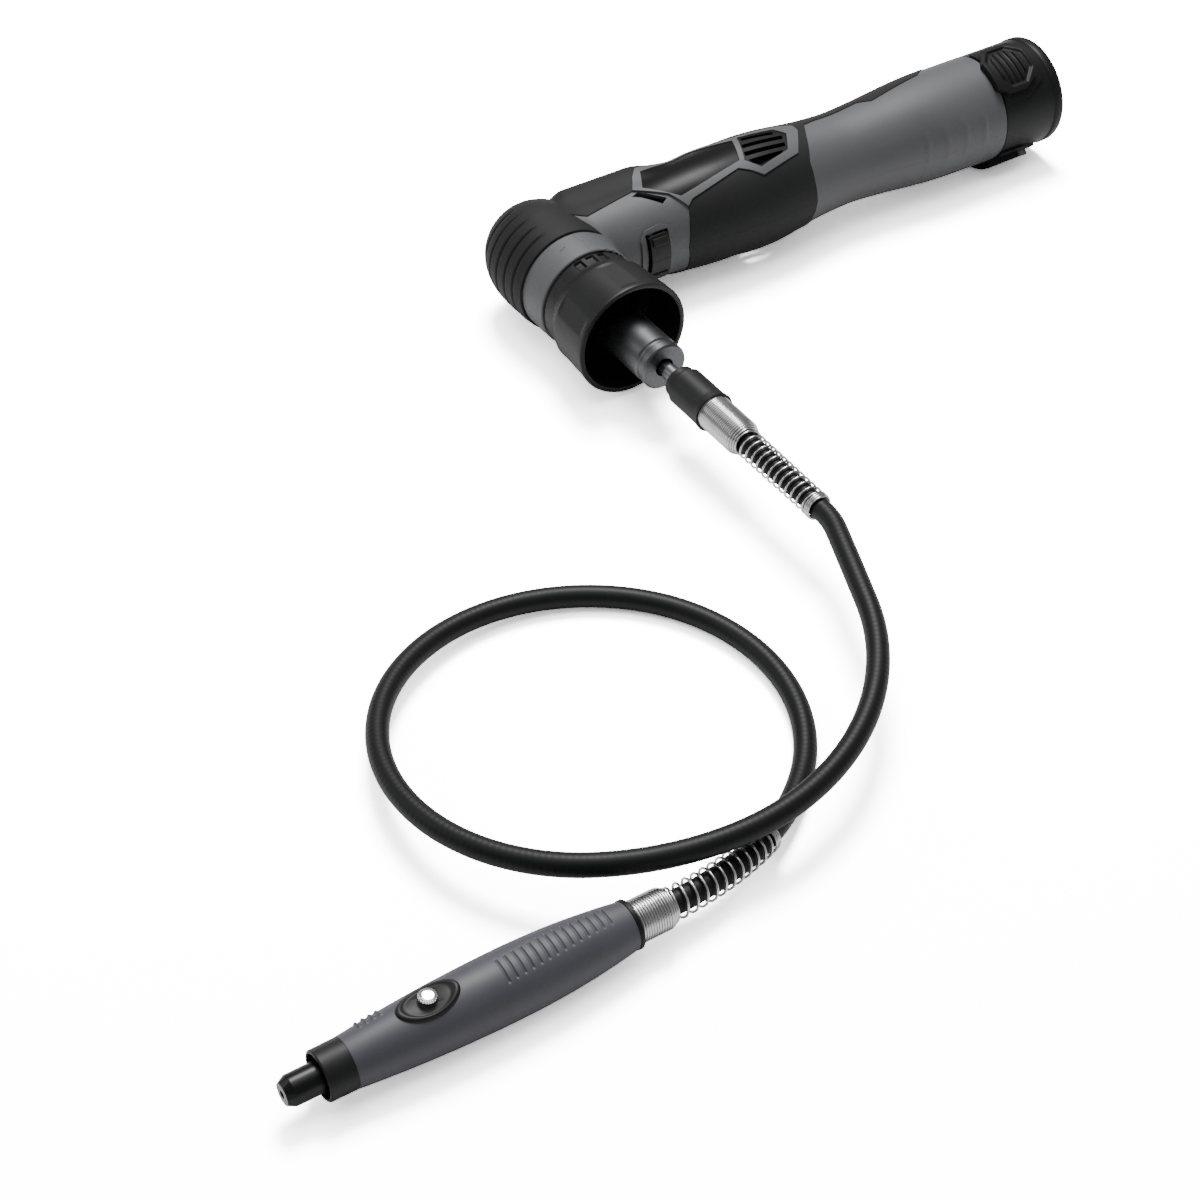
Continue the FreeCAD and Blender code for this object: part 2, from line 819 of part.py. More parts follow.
def bevel_wheel(teeth, mate, back, hub):
    """A straight bevel gear about +Z whose cones meet at the origin; hub is (radius, end, bore)."""
    module = SIZES["gear_module"]
    cone = math.atan2(teeth, mate)
    reach = module * math.hypot(teeth, mate) / 2
    pitch = Vector(reach * math.sin(cone), 0, reach * math.cos(cone))
    out = Vector(math.cos(cone), 0, -math.sin(cone))
    tip = SIZES["tooth_depth"] * 0.42
    root = SIZES["tooth_depth"] - tip
    half = module * math.pi / 4 - BACKLASH
    slope = math.tan(math.radians(20))
    side = Vector(0, 1, 0)
    heel = [
        pitch - out * (root + 0.5) - side * (half + slope * root),
        pitch + out * tip - side * (half - slope * tip),
        pitch + out * tip + side * (half - slope * tip),
        pitch - out * (root + 0.5) + side * (half + slope * root),
    ]
    toe = [corner * SIZES["face_share"] for corner in heel]
    rings = [Part.makePolygon(loop + loop[:1]) for loop in (toe, heel)]
    tooth = Part.makeLoft(rings, True, True)
    edge = pitch - out * root
    inner = edge * SIZES["face_share"]
    radius, end, bore = hub
    blank = Part.makePolygon([
        Vector(0, 0, inner.z), inner, edge, Vector(edge.x, 0, back), Vector(radius, 0, back),
        Vector(radius, 0, end), Vector(0, 0, end), Vector(0, 0, inner.z),
    ])
    wheel = Part.Face(blank).revolve(Vector(), Vector(0, 0, 1), 360)
    turned = [tooth.rotated(Vector(), Vector(0, 0, 1), 360 * i / teeth) for i in range(int(teeth))]
    wheel = wheel.fuse(turned).removeSplitter()
    return wheel.cut(Part.makeCylinder(bore, 60, Vector(0, 0, -5)))


BACKLASH = 0.12


def gears():
    """The motor's pinion about X and the spindle's ring gear about Y, in mesh on the +X side."""
    few, many = SIZES["pinion_teeth"], SIZES["ring_teeth"]
    pinion = bevel_wheel(few, many, 17.5, (6.4, 22, SIZES["shaft_radius"]))
    # a tooth of the pinion faces +Y, and a gap of the ring gear faces +X
    pinion.rotate(Vector(), Vector(0, 1, 0), 90)
    pinion.rotate(Vector(), Vector(1, 0, 0), 90)
    shaped("pinion", tool_frame(), pinion)
    ring = bevel_wheel(many, few, 12, (9, 16.4, SIZES["spindle_radius"]))
    ring.rotate(Vector(), Vector(0, 0, 1), 180 / many)
    ring.rotate(Vector(), Vector(1, 0, 0), -90)
    shaped("ring_gear", tool_frame(), ring)


def hexagon(sketch, flats):
    """A regular hexagon, given the distance across its flats."""
    angles = [math.radians(60 * i) for i in range(6)]
    reach = 1 / math.sqrt(3)
    points = [(flats * (reach * math.cos(a)), flats * (reach * math.sin(a))) for a in angles]
    return outline(sketch, points)


def shaft_adapter():
    """Adapter screwed on the spindle's nose, with a hexagonal socket for the flexible shaft."""
    r, face = mm.adapter_radius, mm.adapter_face
    nose = mm.spindle_radius
    body = turned_y("shaft_adapter", tool_frame(), [
        (0, -mm.nose_end - 1),
        (nose, -mm.nose_end - 1),
        (nose, -mm.adapter_back),
        (r - 1, -mm.adapter_back),
        (r, -mm.adapter_back - 1),
        (r, -face + 7.5),
        (r - 0.8, -face + 6.5),
        (r - 0.8, -face + 5),
        (r, -face + 4),
        (r, -face + 0.8),
        (r - 0.8, -face),
        (mm.adapter_mouth, -face),
        (mm.adapter_mouth, -face + 13),
        (0, -face + 13),
    ])
    socket = hexagon(sketch_on(body, "XZ_Plane", face - 38), mm.socket_flats)
    extrude(body, socket, 26, reverse=True, cut=True)
    return body


# Motor.


def motor():
    front, end, r = mm.motor_front, mm.motor_end, mm.motor_radius
    turned_x("motor_can", tool_frame(), [
        (front, 3.2),
        (front + 0.5, 3.2),
        (front + 0.5, 6.5),
        (front + 4.5, 6.5),
        (front + 4.5, 10),
        (front + 1.5, 12),
        (front + 1.5, r - 1.2),
        (end - 1.5, r - 1.2),
        (end - 1.5, 12),
        (end - 4.5, 10),
        (end - 4.5, 6.5),
        (end - 0.5, 6.5),
        (end - 0.5, 3.2),
        (end, 3.2),
        (end, r),
        (front, r),
    ])
    ring_x("motor_magnet", tool_frame(), mm.rotor_radius + 0.5, r - 1.2, front + 9, end - 15)
    rotor = turned_x("motor_rotor", tool_frame(), [
        (11, 0),
        (11, mm.shaft_radius),
        (front + 12, mm.shaft_radius),
        (front + 12, mm.rotor_radius),
        (end - 18, mm.rotor_radius),
        (end - 18, 5),
        (end - 7, 5),
        (end - 7, mm.shaft_radius),
        (end + 4, mm.shaft_radius),
        (end + 4, 0),
    ])
    slot_count = 9
    for i in range(slot_count):
        add_rotor_slot(rotor, 360 / slot_count * i)
    add_fan()


def add_rotor_slot(body, angle):
    """One winding slot along the rotor."""
    slot = body.newObject("PartDesign::SubtractiveBox", f"{body.Name}_slot")
    slot.Length = 30
    slot.Width = 2
    slot.Height = 4
    turn = Rotation(Vector(1, 0, 0), angle)
    corner = Vector(72, -1, SIZES["rotor_radius"] - 3)
    slot.Placement = FreeCAD.Placement(turn.multVec(corner), turn)
    checked(body, slot, True)


def add_fan():
    """Cooling fan on the motor shaft, between the motor and the gear case."""
    body = ring_x("motor_fan", tool_frame(), mm.shaft_radius, 5, 52, 60)
    disc = [(58.5, 4), (60, 4), (60, 15), (58.5, 15)]
    revolve(body, outline(sketch_on(body, "XY_Plane"), disc), "H_Axis")
    blade_count = 8
    for i in range(blade_count):
        add_fan_blade(body, 360 / blade_count * i)


def add_fan_blade(body, angle):
    """One flat blade standing on the fan's disc and hub."""
    blade = body.newObject("PartDesign::AdditiveBox", "fan_blade")
    blade.Length = 6
    blade.Width = 1
    blade.Height = 10.5
    turn = Rotation(Vector(1, 0, 0), angle)
    blade.Placement = FreeCAD.Placement(turn.multVec(Vector(53, -0.5, 4.4)), turn)
    checked(body, blade, False)


# Trigger, switch and electronics.


def soften(body, radius, wanted):
    """Rounds the edges of the last feature for which wanted(edge) is true."""
    base = body.Tip
    names = [f"Edge{n}" for n, edge in enumerate(base.Shape.Edges, start=1) if wanted(edge)]
    feature = body.newObject("PartDesign::Fillet", f"{body.Name}_fillet")
    feature.Base = (base, names)
    bind(feature, "Radius", radius)
    return checked(body, feature, True)


def trigger():
    """Press bar through the spindle side of the barrel, with a lip inside and a stem."""
    body = new_body("trigger", tool_frame())
    face = mm.neck_radius + mm.trigger_proud
    half_length, half_width = mm.trigger_length / 2, mm.trigger_width / 2
    x = mm.trigger_x
    block(body, (x - half_length, -face, -half_width), (x + half_length, -19.5, half_width))
    soften(body, 1.2, lambda edge: edge.BoundBox.YMax < -SIZES["neck_radius"])
    block(body, (x - half_length - 1.3, -20.6, -8), (x + half_length + 1.3, -19, 8))
    rod(body, "y", (x - 1.3, -19, 0), 1.4, 4.2)


def switch_unit():
    """Switch block behind the trigger, with a hole for the trigger's stem."""
    body = new_body("switch_unit", tool_frame())
    block(body, (41, -16.5, -7), (51, -8.5, 7))
    rod(body, "-y", (mm.trigger_x - 1.3, -10, 0), 1.6, 10, cut=True)


def coil_shape(base, axis, radius, wire, pitch, length):
    """A plain compression spring; radius is measured to the middle of the wire."""
    turns = [(length, pitch, radius + wire / 2)]
    spring = spring_along(lambda run: (base + axis * run, axis), turns, wire)
    return Part.makeCompound([spring])


def trigger_spring():
    stem = Vector(SIZES["trigger_x"] - 1.3, -18.7, 0)
    shape = coil_shape(stem, Vector(0, 1, 0), 2.4, 0.4, 0.7, 1.9)
    shaped("trigger_spring", tool_frame(), shape)


def part_block(low, high):
    """A box for a compound, between two corners."""
    box = doc.addObject("Part::Box", "block")
    for field, start, end in zip(("Length", "Width", "Height"), low, high):
        bind(box, field, Size.of(end) - Size.of(start))
    place(box, low)
    return box


def part_rod(axis, base, radius, length):
    """A cylinder for a compound, from base along a direction."""
    item = doc.addObject("Part::Cylinder", "rod")
    bind(item, "Radius", radius)
    bind(item, "Height", length)
    item.Placement = FreeCAD.Placement(Vector(), Rotation(Vector(0, 0, 1), axis))
    for name, value in zip("xyz", base):
        bind(item, f"Placement.Base.{name}", value)
    return item


def group(label, frame, items):
    """Several separate solids of one kind as one sub-part."""
    item = doc.addObject("Part::Compound", label)
    item.Label = label
    item.Links = items
    place(item, frame)
    parts.append(item)
    return item


def electronics():
    tool = tool_frame()
    board = new_body("control_board", tool)
    block(board, (122, -12.4, -0.8), (168, 12.4, 0.8))
    up = Vector(0, 0, 1)
    group("board_components", tool, [
        part_rod(up, (130, -5.5, 0.8), 4, 11),
        part_rod(up, (130, 5.5, 0.8), 4, 11),
        part_block((138, -9, 0.8), (144, -3, 2.8)),
        part_block((138, 3, 0.8), (144, 9, 2.8)),
        part_block((150, -5, 0.8), (158, 5, 2.2)),
    ])
    block_body = new_body("terminal_block", tool)
    block(block_body, (170, -10, -6.5), (182, 10, 6.5))
    for y in (-5, 5):
        block(block_body, (172, y - 0.45, -3.1), (183, y + 0.45, 3.1), cut=True)
    group("terminal_blades", tool, [
        part_block((172.2, y - 0.4, -3), (192, y + 0.4, 3)) for y in (-5, 5)
    ])


def housing_screws():
    """The five screws that hold the half shells together, driven from below."""
    up = Vector(0, 0, 1)
    screws = []
    for x, y, _ in BOSSES:
        fuse = doc.addObject("Part::Fuse", "screw")
        fuse.Base = part_rod(up, (x, y, -12.6), 2.7, 2.6)
        fuse.Tool = part_rod(up, (x, y, -10.2), 1.2, 18.2)
        screws.append(fuse)
    group("housing_screws", tool_frame(), screws)


# Battery: a stem that slides into the grip, and a round base with a latch on each cheek.


def battery_case():
    stem, base = mm.battery_stem, mm.grip_radius - 0.1
    front, shoulder = mm.battery_front, mm.grip_end + 0.3
    end = mm.battery_end - mm.cap_depth
    body = turned_x("battery_case", tool_frame(), [
        (front, 0),
        (front, stem - 2),
        (front + 2, stem),
        (shoulder, stem),
        (shoulder, base - 0.6),
        (shoulder + 0.6, base),
        (end, base),
        (end, base - 2.3),
        (shoulder + 2, base - 2.3),
        (shoulder + 2, stem - 1.1),
        (front + 1.4, stem - 1.1),
        (front + 1.4, 0),
    ])
    for y in (-5, 5):
        block(body, (front - 1, y - 0.8, -3.5), (front + 2, y + 0.8, 3.5), cut=True)
    for up in (True, False):
        extrude(body, latch_sketch(body, latch_lean(up), 0.2), 40, reverse=True, cut=True)


def battery_end_cap():
    """Flat end of the battery, with a tube inside that seats the latch springs."""
    base, end = mm.grip_radius - 0.1, mm.battery_end
    joint = end - mm.cap_depth + 0.05
    return turned_x("battery_end_cap", tool_frame(), [
        (end, 0),
        (end, base - 1),
        (end - 1, base),
        (joint, base),
        (joint, base - 2.4),
        (joint - 3, base - 2.4),
        (joint - 3, base - 4),
        (end - 2.5, base - 4),
        (end - 2.5, 14),
        (269, 14),
        (269, 12.6),
        (end - 2.5, 12.6),
        (end - 2.5, 0),
    ])


def battery_inside():
    tool = tool_frame()
    along = Vector(1, 0, 0)
    start = mm.battery_front + 7
    ring = SIZES["cell_radius"] * 2 / math.sqrt(3) + 0.04
    cells = []
    for angle in (90, 210, 330):
        y, z = ring * math.cos(math.radians(angle)), ring * math.sin(math.radians(angle))
        cells.append(part_rod(along, (start, y, z), mm.cell_radius, mm.cell_length))
    group("battery_cells", tool, cells)
    ring_x("battery_board", tool, 3, 18.5, 260.5, 262)
    group("battery_contacts", tool, [
        part_block((189, y + side - 0.2, -3), (193.4, y + side + 0.2, 3))
        for y in (-5, 5) for side in (-0.75, 0.75)
    ])


def battery_latch(label, up):
    """Spring-loaded button on one cheek; its face follows the battery's round."""
    body = new_body(label, tool_frame(), latch_lean(up))
    sketch = sketch_on(body, "XY_Plane", 23.2)
    extrude(body, latch_outline(sketch, 0), 12)
    x = mm.latch_centre
    top = mm.latch_top
    beyond = [(x - 20, top), (x + 20, top), (x + 20, top + 12), (x - 20, top + 12)]
    revolve(body, outline(sketch_on(body, "XY_Plane"), beyond), "H_Axis", cut=True)
    block(body, (x - 5, -9, 21.2), (x + 9, 9, 23.3))
    block(body, (x - 5, -13.4, 20), (x + 9, 13.4, 21.3))


def latch_springs():
    springs = []
    for up in (True, False):
        lean = Rotation(Vector(1, 0, 0), latch_lean(up))
        base = lean.multVec(Vector(SIZES["latch_centre"] + 2, 0, 14.4))
        springs.append(coil_shape(base, lean.multVec(Vector(0, 0, 1)), 3, 0.6, 1.2, 5.0))
    shaped("latch_springs", tool_frame(), Part.makeCompound(springs))


# Flexible shaft.


def drive_shank():
    """Hexagonal shank that enters the adapter, with a collar and a journal for the sleeve."""
    body = turned_y("drive_shank", tool_frame(), [
        (0, -104),
        (3.6, -104),
        (4.1, -104.6),
        (4.1, -122),
        (3, -122),
        (3, -132),
        (0, -132),
    ])
    shank = hexagon(sketch_on(body, "XZ_Plane", 72), mm.shank_flats)
    extrude(body, shank, 32.2)
    return body


def coupling_sleeve():
    front, end, r = mm.sleeve_front, mm.sleeve_end, mm.sleeve_radius
    return turned_y("coupling_sleeve", tool_frame(), [
        (4.3, -front),
        (r - 2.2, -front),
        (r - 1.5, -front - 0.7),
        (r - 1.5, -front - 4.3),
        (r - 0.6, -front - 4.5),
        (r, -front - 5.5),
        (r, -end + 4),
        (r + 0.5, -end),
        (9.0, -end),
        (9.0, -end + 5),
        (7.65, -end + 5),
        (7.65, -130.8),
        (6.55, -130.8),
        (6.55, -124.2),
        (4.3, -124.2),
    ])


def shaft_fittings():
    tool = tool_frame()
    bearing("sleeve_bearing", tool, turned_y, 3 + mm.running_gap, 6.5, -130.6, -124.4)
    sheath = mm.sheath_radius + mm.running_gap
    ring_y("drive_ferrule", tool, sheath, 7.6, -160, -134)
    ring_x("hand_ferrule", hand_frame(), sheath, 7.0, -10, 14)


def arc_from(start, heading, end):
    """An arc that leaves start along heading and reaches end."""
    chord = end - start
    across = heading - chord * (heading.dot(chord) / chord.dot(chord))
    if across.Length < 1e-7:
        return Part.LineSegment(start, end).toShape()
    rise = chord.Length / 2 * math.tan(math.asin(across.Length) / 2)
    return Part.Arc(start, (start + end) / 2 + across.normalize() * rise, end).toShape()


def arcs_through(points, headings):
    """Smoothly joined arcs through points; each point has its own heading."""
    edges = []
    for i in range(len(points) - 1):
        start, end = points[i], points[i + 1]
        leave, arrive = headings[i], headings[i + 1]
        chord = end - start
        turn = 2 * (1 - leave.dot(arrive))
        along = chord.dot(leave + arrive)
        if turn < 1e-12:
            reach = chord.dot(chord) / (2 * along)
        else:
            reach = (math.sqrt(along**2 + turn * chord.dot(chord)) - along) / turn
        joint = (start + end + (leave - arrive) * reach) / 2
        edges.append(arc_from(start, leave, joint))
        edges.append(arc_from(joint, (joint - start - leave * reach).normalize(), end))
    return edges


def rod_along(edges, radius):
    """A round rod swept along smoothly joined edges."""
    first = edges[0]
    heading = first.tangentAt(first.FirstParameter)
    ring = Part.Circle(first.valueAt(first.FirstParameter), heading, radius).toShape()
    return Part.Wire(edges).makePipeShell([Part.Wire(ring)], True, False)


def route_headings():
    """Heading of the shaft at each point of its route."""
    middle = [(after - before).normalize() for before, after in zip(ROUTE, ROUTE[2:])]
    return [Vector(0, -1, 0), *middle, Vector(-1, 0, 0)]


def shaft_path(start, into_hand):
    """The shaft's line from start, behind the spindle's axis crossing, into the handpiece."""
    head = Vector(0, -start, SIZES["axis_height"])
    tail = ROUTE[-1] - Vector(SIZES["hand_coil"] + into_hand, 0, 0)
    first = Part.LineSegment(head, ROUTE[0]).toShape()
    last = Part.LineSegment(ROUTE[-1], tail).toShape()
    return [first, *arcs_through(ROUTE, route_headings()), last]


def sheath_and_core():
    """The black sheath and the steel core inside it, both swept along the shaft's route."""
    floor = (mm.layout_x, mm.layout_y, 0)
    path = shaft_path(150, 8)
    bore = rod_along(path, SIZES["sheath_bore"])
    shaped("sheath", floor, rod_along(path, SIZES["sheath_radius"]).cut(bore))
    shaped("inner_core", floor, rod_along(shaft_path(132, 48), SIZES["core_radius"]))


def spring_along(place_at, sections, wire):
    """A coil that follows a path. Each section is (length, pitch, outer radius at its end)."""
    per_turn = 4
    points = []
    turn = 0.0
    run = 0.0
    radius = sections[0][2]
    for length, pitch, end_radius in sections:
        steps = round(length / pitch * per_turn)
        for step in range(steps):
            share = step / steps
            reach = radius + (end_radius - radius) * share - wire / 2
            centre, heading = place_at(run + length * share)
            level = Vector(0, 0, 1) if abs(heading.z) < 0.8 else Vector(1, 0, 0)
            side = heading.cross(level).normalize()
            rise = side.cross(heading)
            points.append(centre + (side * math.cos(turn) + rise * math.sin(turn)) * reach)
            turn += 2 * math.pi / per_turn
        run += length
        radius = end_radius
    return rod_along(arcs_through(points, coil_headings(points)), wire / 2)


def coil_headings(points):
    """Heading of a coil's wire at each of its points."""
    middle = [(after - before).normalize() for before, after in zip(points, points[2:])]
    first = arc_heading(points[1], middle[0] * -1, points[0]) * -1
    last = arc_heading(points[-2], middle[-1], points[-1])
    return [first, *middle, last]


def arc_heading(start, heading, end):
    """Heading at the end of the arc that leaves start along heading."""
    chord = (end - start).normalize()
    return chord * (2 * heading.dot(chord)) - heading


def drive_spring():
    """Strain relief behind the sleeve: close wound, then open, then closed again."""
    start = Vector(0, -SIZES["sleeve_end"] + 4.2, SIZES["axis_height"])
    down = Vector(0, -1, 0)
    closed = SIZES["spring_wire"] * 1.04
    shape = spring_along(lambda run: (start + down * run, down), [
        (SIZES["close_length"] + 1, closed, SIZES["close_radius"]),
        (4, closed, SIZES["open_radius"] + 0.4),
        (SIZES["open_length"] - 6, 4.2, SIZES["open_radius"]),
        (3.6, closed, SIZES["open_radius"]),
    ], SIZES["spring_wire"])
    shaped("drive_spring", (mm.layout_x, mm.layout_y, 0), shape)


def hand_spring():
    """Strain relief behind the handpiece, bent along the shaft's route."""
    bends = arcs_through(ROUTE, route_headings())[::-1]
    coil = SIZES["hand_coil"]
    rear = ROUTE[-1] - Vector(coil - 1.8, 0, 0)

    def place_at(run):
        left = run - coil + 1.8
        if left < 0:
            return rear + Vector(run, 0, 0), Vector(1, 0, 0)
        for edge in bends:
            if left <= edge.Length:
                spot = edge.getParameterByLength(edge.Length - left)
                return edge.valueAt(spot), edge.tangentAt(spot) * -1
            left -= edge.Length
        raise ValueError(f"{run} mm is beyond the shaft")

    closed = SIZES["spring_wire"] * 1.04
    shape = spring_along(place_at, [
        (coil - 4, closed, SIZES["close_radius"]),
        (3.4, closed, SIZES["open_radius"] + 0.6),
        (SIZES["open_length"] - 4, 4.6, SIZES["open_radius"]),
        (3.6, closed, SIZES["open_radius"]),
    ], SIZES["spring_wire"])
    shaped("hand_spring", (mm.layout_x, mm.layout_y, 0), shape)


# Handpiece. Its frame is the middle of its rear face, and its tip points along -X.


def hand_skin(inset, start):
    """Half outline of the handpiece from its axis to its skin less inset."""
    return [
        (-mm.hand_seam, 0),
        (start, 0),
        (start, mm.hand_tail_radius - inset, mm.hand_tail_bend),
        (-mm.hand_waist, mm.hand_radius - inset, mm.hand_front_bend),
        (-mm.hand_seam, mm.hand_nose_radius - inset),
    ]


def hand_half(label, up):
    """One half shell of the handpiece."""
    body = new_body(label, hand_frame())
    z_way = "z" if up else "-z"
    skin = outline(sketch_on(body, "XY_Plane"), hand_skin(0, 0))
    revolve(body, skin, "H_Axis", 180, not up)
    hollow = outline(sketch_on(body, "XY_Plane"), [
        (-mm.hand_seam, 0),
        (0, 0),
        (0, 7.05),
        (-8, 7.05),
        (-8, 8.8, mm.hand_tail_bend),
        (-mm.hand_waist, mm.hand_radius - mm.hand_wall, mm.hand_front_bend),
        (-mm.hand_seam, mm.hand_nose_radius - mm.hand_wall),
    ])
    revolve(body, hollow, "H_Axis", 180, not up, cut=True)
    rib = [(-62, 8.03), (-57, 8.03), (-57, 12.4), (-62, 12.4)]
    revolve(body, outline(sketch_on(body, "XY_Plane"), rib), "H_Axis", 180, not up)
    if up:
        x = -mm.bezel_centre
        block(body, (x - 5, -10.6, 5), (x + 5, 10.6, 6))
        rod(body, z_way, (x, 0, 4), 2, 3, cut=True)
        rod(body, z_way, (x, 0, 7), 3.8, 10, cut=True)
        add_grip_grooves(body)


def add_grip_grooves(body):
    """A row of shallow cross grooves on the upper side, near the rear."""
    for i in range(13):
        x = -14 - i * 3.2
        radius = SIZES["hand_radius"] - (x + SIZES["hand_waist"]) ** 2 / (2 * SIZES["hand_tail_bend"])
        floor = radius - 0.4
        edge = [(x, -floor), (x + 1, -floor), (x + 1, -floor - 3), (x, -floor - 3)]
        sketch = sketch_on(body, "XY_Plane")
        sketch.AttachmentOffset = FreeCAD.Placement(Vector(), Rotation(Vector(1, 0, 0), -38))
        revolve(body, outline(sketch, edge), "H_Axis", 42, True, cut=True)


def lock_bezel():
    """Oval rim on top of the handpiece, dished round the lock button."""
    body = new_body("lock_bezel", hand_frame())
    x = -mm.bezel_centre
    half_length = mm.bezel_length / 2
    bend = SIZES["bezel_length"] ** 2 / 4 / SIZES["bezel_width"] + SIZES["bezel_width"] / 4
    eye = [(x - half_length, 0, bend), (x + half_length, 0, bend)]
    extrude(body, outline(sketch_on(body, "XY_Plane", 8), eye), 7.4)
    core = outline(sketch_on(body, "XY_Plane"), hand_skin(-0.02, 0))
    revolve(body, core, "H_Axis", cut=True)
    small = bend * 0.9
    dish = [(x - half_length + 2.2, 0, small), (x + half_length - 2.2, 0, small)]
    extrude(body, outline(sketch_on(body, "XY_Plane", 14.2), dish), 4, reverse=True, cut=True)
    rod(body, "z", (x, 0, 8), 3.9, 10, cut=True)


def lock_button():
    body = new_body("lock_button", hand_frame())
    x = -mm.bezel_centre
    rod(body, "z", (x, 0, 6.2), 1.6, 8)
    rod(body, "z", (x, 0, 8.4), 4.4, 0.8)
    rod(body, "z", (x, 0, 11), 3.6, 5.4)
    soften(body, 0.5, lambda edge: edge.BoundBox.ZMin > 16.3)


def lock_spring():
    base = Vector(-SIZES["bezel_centre"], 0, 6.3)
    shape = coil_shape(base, Vector(0, 0, 1), 2.6, 0.4, 0.8, 1.8)
    shaped("lock_spring", hand_frame(), shape)


def nose_collar():
    end, seam, r = mm.collar_end, mm.hand_seam, mm.hand_nose_radius
    return turned_x("nose_collar", hand_frame(), [
        (-end, 9),
        (-end, r - 0.6),
        (-end + 0.5, r - 0.1),
        (-seam - 0.05, r),
        (-seam - 0.05, r - mm.hand_wall - 0.05),
        (-seam + 7, r - mm.hand_wall - 0.35),
        (-seam + 7, 5),
        (-seam - 2.5, 5),
        (-seam - 2.5, 7.55),
        (-seam - 8.5, 7.55),
        (-seam - 8.5, 9),
    ])


def output_spindle():
    """Handpiece spindle: a plain nose with a six-sided end, a shaft and a rear journal."""
    end, r = mm.tip_end, mm.tip_radius
    body = turned_x("output_spindle", hand_frame(), [
        (-end, 0),
        (-end, r - 1.6),
        (-end + 3.2, r),
        (-mm.hand_seam - 9.2, r),
        (-mm.hand_seam - 9.2, 4),
        (-62.3, 4),
        (-62.3, 3),
        (-50, 3),
        (-50, 0),
    ])
    for i in range(6):
        add_nose_facet(body, 60 * i)
    rod(body, "x", (-end, 0, 0), mm.bit_radius, mm.bit_depth, cut=True)
    return body


def add_nose_facet(body, angle):
    """One flat of the six that taper the end of the nose."""
    flat = body.newObject("PartDesign::SubtractiveBox", "nose_facet")
    flat.Length = 8
    flat.Width = 14
    flat.Height = 4
    turn = Rotation(Vector(1, 0, 0), angle)
    tilt = Rotation(Vector(0, 1, 0), -28)
    corner = Vector(-SIZES["tip_end"] - 2, -7, SIZES["tip_radius"] - 2.8)
    flat.Placement = FreeCAD.Placement(turn.multVec(corner), turn.multiply(tilt))
    checked(body, flat, True)


def handpiece():
    hand_half("hand_grip_upper", True)
    hand_half("hand_grip_lower", False)
    hand = hand_frame()
    nose_collar()
    output_spindle()
    bearing("hand_bearing_front", hand, turned_x, 4 + mm.running_gap, 7.5, -128.3, -122.6)
    bearing("hand_bearing_rear", hand, turned_x, 3 + mm.running_gap, 8, -62, -57)
    ring_x("tail_ring", hand, 7.1, 9.3, 0.03, 1.1)
    lock_bezel()
    lock_button()
    lock_spring()


def tool():
    housing_half("housing_upper", True)
    housing_half("housing_lower", False)
    head_cover()
    side_pad("side_pad_upper", True)
    side_pad("side_pad_lower", False)
    spine_pad("spine_pad_upper", True)
    spine_pad("spine_pad_lower", False)
    badge_shape("badge_plate_upper", True, Size(0), export=True)
    badge_shape("badge_plate_lower", False, Size(0), export=True)
    housing_screws()
    guard_cup()
    gear_case()
    gear_case_cover()
    spindle()
    shaft_adapter()
    bearings()
    gears()
    motor()
    trigger()
    trigger_spring()
    switch_unit()
    electronics()


def battery():
    battery_case()
    battery_end_cap()
    battery_inside()
    battery_latch("battery_latch_upper", True)
    battery_latch("battery_latch_lower", False)
    latch_springs()


def flexible_shaft():
    drive_shank()
    coupling_sleeve()
    shaft_fittings()
    drive_spring()
    sheath_and_core()
    hand_spring()


def check_document():
    """Stops if any object failed or any sub-part has no valid solid."""
    for item in doc.Objects:
        if "Invalid" in item.State or "Error" in item.State:
            raise RuntimeError(f"{item.Label} failed: {item.State}")
    for item in parts:
        if item.Shape.isNull() or not item.Shape.isValid() or not item.Shape.Solids:
            raise RuntimeError(f"{item.Label} has no valid solid")


def write_parts():
    os.makedirs("parts", exist_ok=True)
    for item in parts:
        item.Shape.exportStep(os.path.join("parts", f"{item.Label}.step"))


tool()
battery()
flexible_shaft()
handpiece()
doc.recompute()
check_document()
write_parts()
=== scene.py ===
import json
import math

import bmesh
import bpy
import numpy as np
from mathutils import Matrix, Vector


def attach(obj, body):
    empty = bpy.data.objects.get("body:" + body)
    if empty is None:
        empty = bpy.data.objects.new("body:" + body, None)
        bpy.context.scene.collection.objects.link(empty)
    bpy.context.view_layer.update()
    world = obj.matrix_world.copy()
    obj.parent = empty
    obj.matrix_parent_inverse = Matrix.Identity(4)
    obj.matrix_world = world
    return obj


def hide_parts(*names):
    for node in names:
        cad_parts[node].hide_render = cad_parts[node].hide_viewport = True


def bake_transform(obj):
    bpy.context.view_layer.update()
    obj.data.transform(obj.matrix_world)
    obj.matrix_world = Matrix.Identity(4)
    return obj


# Cordless right-angle rotary tool with a flexible shaft and a pencil handpiece. Shapes are worked
# out in millimetres about the crossing of the barrel's axis (X) and the spindle's axis (Y), then
# moved to the row frame in metres.

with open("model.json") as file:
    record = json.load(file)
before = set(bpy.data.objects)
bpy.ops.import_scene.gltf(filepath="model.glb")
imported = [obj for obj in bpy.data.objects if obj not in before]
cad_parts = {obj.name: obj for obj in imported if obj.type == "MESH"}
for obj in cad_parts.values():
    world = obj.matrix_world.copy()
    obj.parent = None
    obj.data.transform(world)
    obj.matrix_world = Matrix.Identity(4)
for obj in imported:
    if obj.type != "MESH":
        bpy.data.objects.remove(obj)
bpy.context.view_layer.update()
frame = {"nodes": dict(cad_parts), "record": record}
NODES = frame["nodes"]

